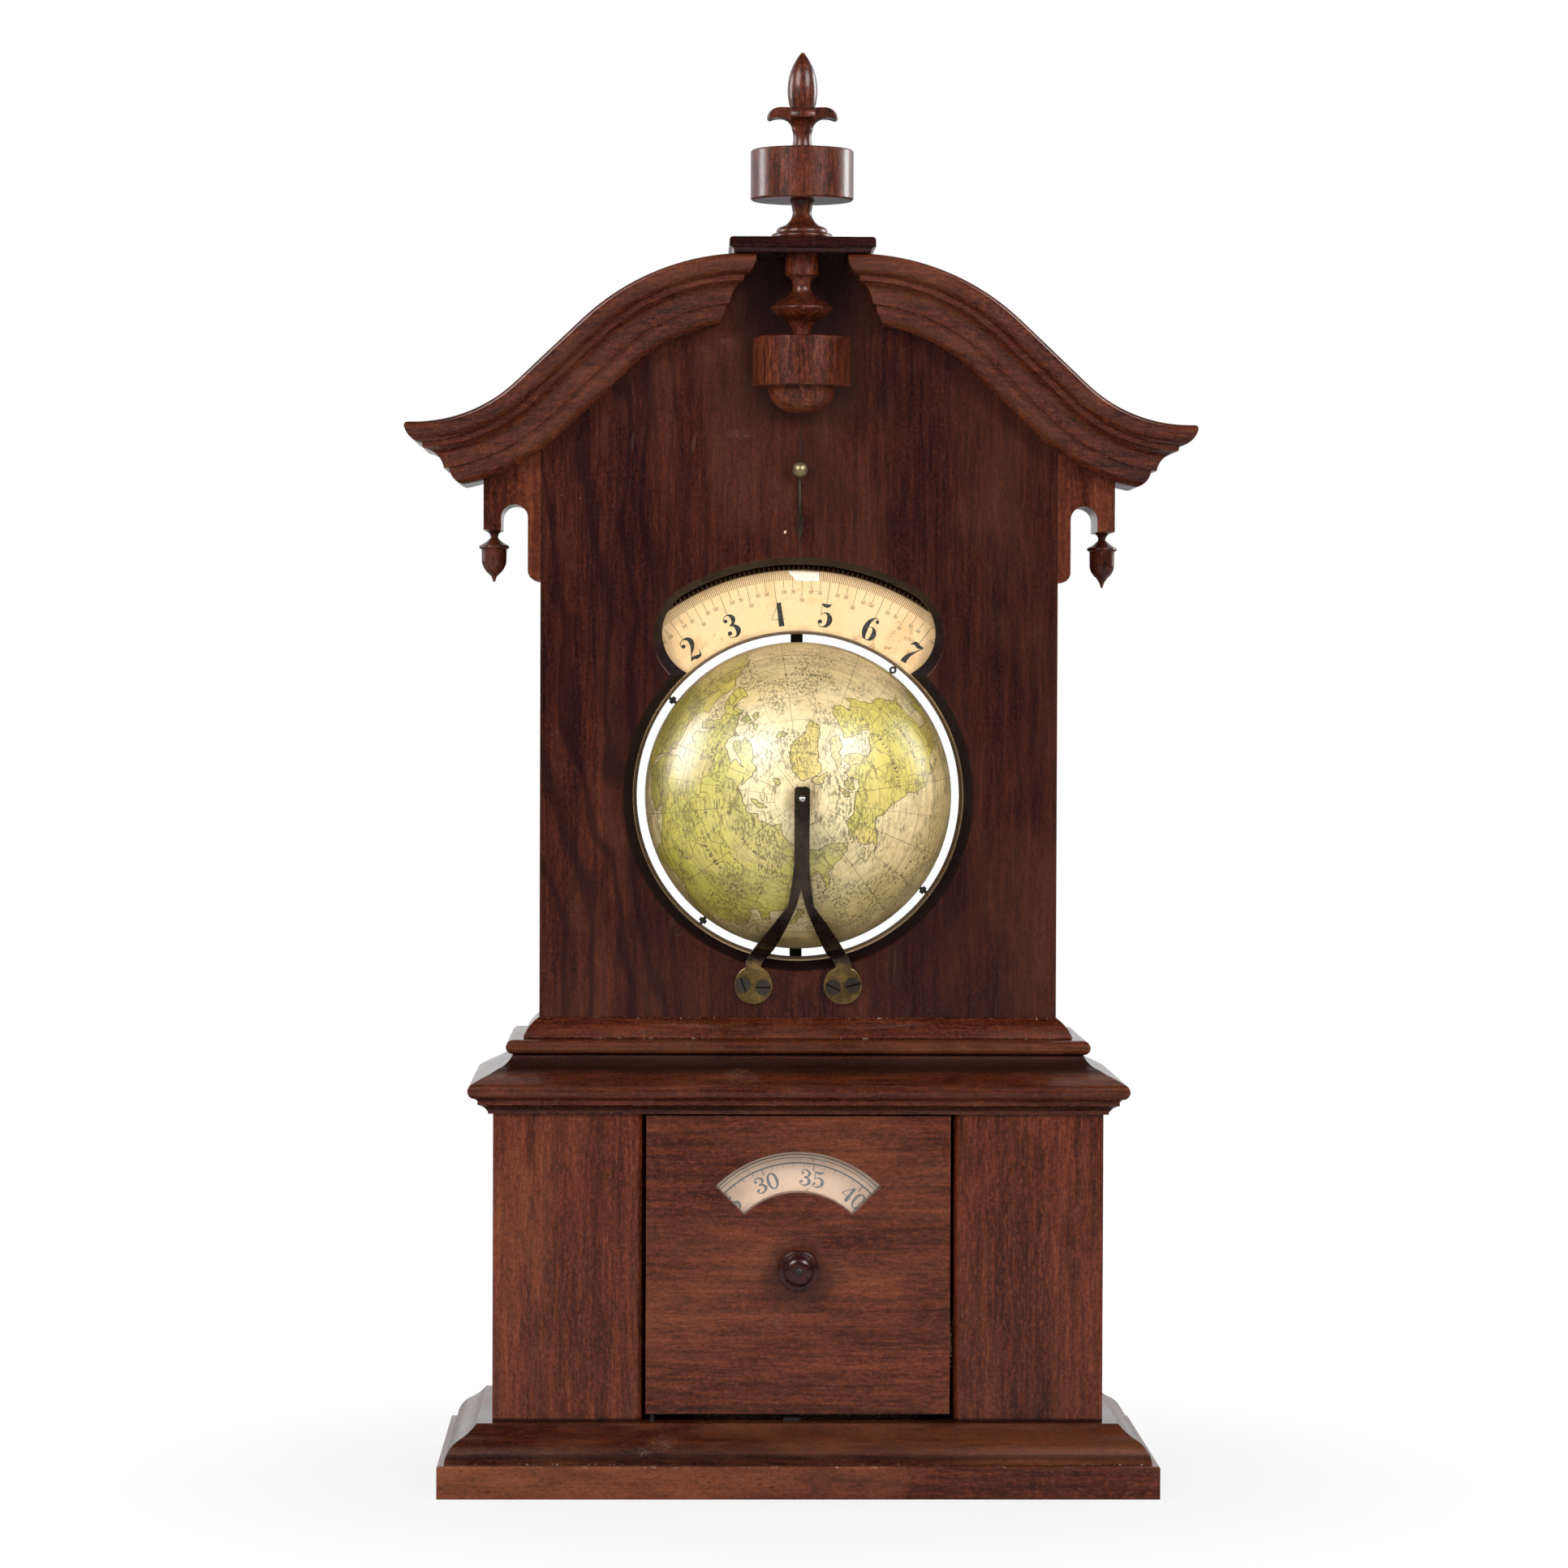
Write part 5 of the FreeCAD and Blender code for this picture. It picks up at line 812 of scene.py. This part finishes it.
def land_mesh(name, outline, material):
    """A patch of land that follows the globe."""
    if name == "antarctica":
        points, faces = polar_cap(outline)
    else:
        low, high = ([end(p[k] for p in outline) for k in (0, 1)] for end in (min, max))
        step = 2.2
        corners = [Vector(p) for p in outline]
        for i in range(int((high[0] - low[0]) / step)):
            for j in range(int((high[1] - low[1]) / step)):
                corners.append(Vector((low[0] + (i + 0.5) * step, low[1] + (j + 0.5) * step)))
        result = delaunay_2d_cdt(corners, [], [list(range(len(outline)))], 1, 1e-5)
        points, faces = [on_globe(v.x, v.y, LAND_LIFT) for v in result[0]], [tuple(f) for f in result[2]]
    lay_mesh("land_" + name, points, faces, material, "globe")


def polar_cap(ring):
    """Points and faces of a land that covers the south pole."""
    points = [on_globe(lon, -90 + (lat + 90) * share, LAND_LIFT) for share in (1.0, 0.6, 0.25) for lon, lat in ring]
    count = len(ring)
    pole = len(points)
    faces = []
    for start in (0, count):
        for i in range(count):
            j = (i + 1) % count
            faces.append((start + i, start + j, start + count + j, start + count + i))
    faces += [(pole - count + i, pole - count + (i + 1) % count, pole) for i in range(count)]
    return points + [on_globe(0, -90, LAND_LIFT)], faces


class Engraving(Strips):
    """Lines drawn on the globe as thin ribbons."""

    def line(self, route, width, closed=False):
        places = [on_globe(lon, lat, INK_LIFT) for lon, lat in route]
        sides = []
        for i, p in enumerate(places):
            behind, ahead = beside(places, i, closed)
            side = (ahead - behind).cross(p - GLOBE_AT)
            side.normalize()
            sides.append((p + side * width / 2, p - side * width / 2))
        self.strip(sides, closed)

    def row(self, count, lon, lat, height, seed):
        """A row of short strokes along a parallel: the look of small print, and no letters."""
        chance = random.Random(seed)
        tall = math.degrees(height / GLOBE_R)
        wide = tall / max(0.12, math.cos(math.radians(lat)))
        for i in range(count):
            x = lon + (i - count / 2) * 0.80 * wide
            for k in range(chance.choice((1, 2, 2, 3))):
                x0 = x + (0.22 * k + chance.uniform(-0.04, 0.04)) * wide
                y0, y1 = chance.uniform(-0.5, -0.2), chance.uniform(0.15, 0.5)
                lean = chance.choice((0.0, 0.0, 0.16, -0.16))
                self.line([(x0, lat + y0 * tall), (x0 + lean * wide, lat + y1 * tall)],
                          height * chance.choice((0.09, 0.16)))


# Rows of small print as (strokes, longitude, latitude, height in mm)
ROWS = [
    (9, 170, 80, 1.9), (9, -42, 73, 1.7), (13, -103, 51, 2.8), (6, -105, 60, 1.9), (6, -152, 64.5, 1.6),
    (11, -98, 39, 2.2), (7, 22, 51, 2.6), (8, 44, 57, 2.0), (9, 102, 63, 2.4), (6, 88, 47, 3.2), (6, 104, 34, 2.2),
    (12, -40, 38, 2.4), (12, -165, 35, 2.6), (9, -178, 57.5, 1.4), (8, -67, 73.6, 1.0), (9, -86, 59.5, 1.1),
    (7, 2, 56.5, 0.9), (6, 15, 63, 1.2), (6, 46, 23, 1.9), (6, 78, 20, 1.9), (8, 8, 23, 2.2), (8, 20, 5, 3.2),
    (12, -60, -12, 2.4), (9, 134, -26, 2.4), (11, 80, -22, 2.6), (6, 143, 36, 1.1), (8, 159, 58.5, 0.8),
    (8, 20, 75.8, 0.9), (7, 70, 75, 0.9), (6, -19, 67.0, 0.9), (10, -120, 66, 1.1), (12, -92, 46, 1.2),
    (11, -110, 43, 1.1), (9, -84, 36, 1.1), (12, 60, 52, 1.3), (14, 95, 55, 1.3), (10, 120, 60, 1.1),
    (9, 35, 47, 1.1), (10, 66, 66, 1.1), (8, 140, 66, 1.1), (12, 110, 45, 1.2), (9, 10, 48, 1.0),
]


def globe_map():
    """Sea and land tints, graticule, coasts, rivers and rows of small print."""
    sea = map_print("sea print", [(0.0, (0.84, 0.64, 0.28)), (0.5, (0.92, 0.74, 0.40)), (1.0, (0.78, 0.57, 0.25))],
                    (0.82, 0.63, 0.31))
    green = map_print("green land print", [(0.0, (0.52, 0.48, 0.050)), (0.35, (0.68, 0.58, 0.095)),
                                           (0.65, (0.40, 0.38, 0.055)), (1.0, (0.76, 0.56, 0.18))],
                      (0.68, 0.58, 0.15))
    yellow = map_print("yellow land print", [(0.0, (0.74, 0.59, 0.075)), (0.5, (0.62, 0.53, 0.070)),
                                             (1.0, (0.76, 0.56, 0.12))], (0.74, 0.60, 0.16))
    dress(sea, "globe_shell")
    fine = Engraving()
    for n, (name, outline) in enumerate(LANDS.items()):
        rough = outline if name == "antarctica" else coast(outline, n + 5, 3)
        land_mesh(name, rough, yellow if name in ("greenland", "north america", "africa") else green)
        fine.line(rough, 0.34 * MM, closed=True)
    for lon in range(0, 360, 15):
        top = 80.0 if lon % 90 else 89.0
        fine.line([(lon, top - (top + 80) * i / 70) for i in range(71)], (0.12 if lon % 30 else 0.18) * MM)
    for lat in range(-80, 81, 10):
        fine.line([(lon, lat) for lon in range(0, 360, 3)], (0.12 if lat else 0.5) * MM, closed=True)
    for lat in (66.5, 23.5, -23.5):
        for lon in range(0, 360, 4):
            fine.line([(lon, lat), (lon + 2, lat)], 0.16 * MM)
    for n, (count, lon, lat, height) in enumerate(ROWS):
        fine.row(count, lon, lat, height * MM, n)
    map_ink = ink("map ink", (0.085, 0.060, 0.030), 0.5)
    lay_mesh("map engraving", fine.points, fine.faces, map_ink, "globe")


# ------------------------------------------------------- wear on the front
def wandering(start, end, steps, sway, seed):
    """A route in the plane that strays from a straight line between its ends."""
    chance = random.Random(seed)
    route = []
    drift = 0.0
    for i in range(steps + 1):
        t = i / steps
        drift += chance.uniform(-sway, sway)
        x = start[0] + (end[0] - start[0]) * t + drift * math.sin(math.pi * t)
        route.append((x, start[1] + (end[1] - start[1]) * t))
    return route


def board_crack():
    """Drying crack from the pendant down through the pointer pin to the window."""
    pin = middle("pointer_pin")
    top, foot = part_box("pendant_drop")[0].z + 12 * MM, GLOBE_AT.z + 116 * MM
    crack = Print()
    chance = random.Random(11)
    upper = wandering((1.2 * MM, top), (0.2 * MM, pin.z + 3 * MM), 26, 0.5 * MM, 3)
    lower = wandering((-0.2 * MM, pin.z - 3 * MM), (0.6 * MM, foot), 30, 0.3 * MM, 4)
    for route in (upper, lower):
        crack.ribbon([(x, z, chance.uniform(0.15, 0.55) * MM) for x, z in route])
    black = grained("crack shadow", 300, 2, (0.006, 0.003, 0.002), (0.020, 0.010, 0.007), 0.8).material
    crack.lay("board crack", Vector((0, FACE_Y, 0)), black, "clock_case", "walnut", 0.05 * MM)


def torn_scrap():
    """Scrap of blank paper caught on the ring at the top of the window."""
    centre = Vector((2.2 * MM, DIAL_Y - 0.35 * MM, GLOBE_AT.z + 108.9 * MM))
    outline = [(-7.6, 2.6), (-2.0, 2.5), (4.0, 2.1), (8.0, 1.9), (7.9, -2.4), (3.6, -2.2), (1.5, -2.6), (-2.2, -2.0),
               (-3.4, -2.5), (-4.6, -1.0), (-5.4, 0.2), (-6.6, 0.9)]
    points = [centre + Vector((x, back + 0.02 * abs(x), z)) * MM for back in (0.0, 0.12) for x, z in outline]
    count = len(outline)
    faces = [tuple(range(count)), tuple(reversed(range(count, 2 * count)))]
    faces += [(i, (i + 1) % count, count + (i + 1) % count, count + i) for i in range(count)]
    scrap = paper("scrap paper", centre, 14 * MM, (0.92, 0.86, 0.74), (0.86, 0.76, 0.60), 3 * MM)
    lay_mesh("torn scrap", points, faces, scrap, "globe")


def chips():
    """Small pale chips in the lacquer."""
    chance = random.Random(8)
    spots = Print()
    for x, z, size in ((-7.2, 130.5, 0.9), (30, 60, 0.4)):
        points = []
        for k in range(9):
            a, r = math.tau * k / 9, size * chance.uniform(0.5, 1.1) * MM
            points.append((x * MM + r * math.cos(a), GLOBE_AT.z + z * MM + r * math.sin(a)))
        spots.polygon(points)
    bare = grained("bare wood", 900, 3, (0.42, 0.28, 0.18), (0.75, 0.62, 0.48), 0.7).material
    spots.lay("lacquer chips", Vector((0, FACE_Y, 0)), bare, "clock_case", "walnut")


# --------------------------------------------------------- camera and studio
def camera():
    data = bpy.data.cameras.new("camera")
    data.sensor_width = 36.0
    data.lens = 118.66
    data.clip_end = 50.0
    eye = scene_object("camera", data)
    yaw, pitch, roll = (math.radians(angle) for angle in (1.282, 1.110, 0.204))
    turn = Matrix.Rotation(-yaw, 4, "Z") @ Matrix.Rotation(math.pi / 2 - pitch, 4, "X")
    eye.matrix_world = Matrix.Translation((-0.0645, -2.5819, 0.3968)) @ (turn @ Matrix.Rotation(roll, 4, "Z"))
    bpy.context.scene.camera = eye


LAMPS_AT, LAMPS_AWAY = Vector((0, 0, 0.34)), 1.7    # what the lamps aim at, and how far they stand off
WORLD_FILL, GLOSS_FRONT = 0.08, 0.03


def lamp(name, at, aim, wide, high, power, mirrored=False, lighting=True):
    data = bpy.data.lights.new(name, "AREA")
    data.shape = "RECTANGLE"
    data.size, data.size_y = wide, high
    data.energy = power
    holder = scene_object(name, data)
    holder.visible_glossy, holder.visible_diffuse = mirrored, lighting
    holder.location = at
    holder.rotation_euler = (Vector(aim) - Vector(at)).to_track_quat("-Z", "Y").to_euler()


def floor_paint():
    """Pale floor that runs out into the white of the backdrop for the camera."""
    r = grained("studio floor", 40, 2, (0.63, 0.63, 0.63), (0.65, 0.65, 0.65), 0.8, spec=0.2)
    far = r.window(r.away(0, 0, axes="XY"), 0.16, 0.36, 0.82, 1.0)
    seen = r.times(far, r.add("ShaderNodeLightPath").outputs["Is Camera Ray"])
    white = r.add("ShaderNodeEmission").outputs[0]
    r.wire(r.output, {0: r.add("ShaderNodeMixShader", {0: seen, 1: r.shader.outputs[0], 2: white}).outputs[0]})
    return r.material


def studio():
    mesh = bpy.data.meshes.new("floor")
    size = 6.0
    mesh.from_pydata([(-size, -size, 0), (size, -size, 0), (size, size, 0), (-size, size, 0)], [], [(0, 1, 2, 3)])
    floor = scene_object("floor", mesh)
    mesh.materials.append(floor_paint())

    def around_lamp(name, way, *size_and_power, **shown):
        lamp(name, LAMPS_AT + Vector(way) * LAMPS_AWAY, LAMPS_AT, *size_and_power, **shown)

    for side in (-1, 1):
        around_lamp("key", (0.56 * side, -0.74, 0.37), 0.55, 0.55, 15.5)
        around_lamp("rear", (0.88 * side, 0.27, 0.36), 0.45, 0.80, 11)
    # what gloss shows of four softboxes, higher up
    for way, wide, high, power in (
        ((-0.50, -0.64, 0.59), 0.80, 0.62, 25),
        ((0.54, -0.61, 0.58), 0.80, 0.62, 25),
        ((-0.91, 0.16, 0.36), 0.50, 0.80, 22),
        ((0.85, 0.38, 0.36), 0.50, 0.80, 25),
    ):
        around_lamp("softbox", way, wide, high, power, mirrored=True, lighting=False)
    lamp("front fill", (0, -3.2, 0.7), (0, 0, 0.3), 1.6, 1.2, 20)


def backdrop():
    """White for the camera and glass; a dim room that turns white behind and beside
    the object for gloss, as a studio sweep does; a low even fill for the rest."""
    world = bpy.data.worlds.new("studio")
    bpy.context.scene.world = world
    t = Tree(world)
    ray = t.add("ShaderNodeLightPath").outputs
    way = t.add("ShaderNodeSeparateXYZ", {0: t.add("ShaderNodeTexCoord").outputs["Generated"]})
    sweep = t.window(way.outputs["Y"], 0.15, 0.70, GLOSS_FRONT, 1.0)
    gloss = t.blend(ray["Is Glossy Ray"], WORLD_FILL, sweep)
    level = t.blend(t.most(ray["Is Camera Ray"], ray["Is Transmission Ray"]), gloss, 1.0)
    shine = t.add("ShaderNodeBackground", {0: (1, 1, 1, 1), 1: level})
    t.add("ShaderNodeOutputWorld", {0: shine.outputs[0]})


for finish in DRESSING:
    dress(*finish)
globe_map()
hour_prints()
minute_prints()
board_crack()
torn_scrap()
chips()
camera()
studio()
backdrop()
bpy.context.scene.view_settings.view_transform = "Standard"
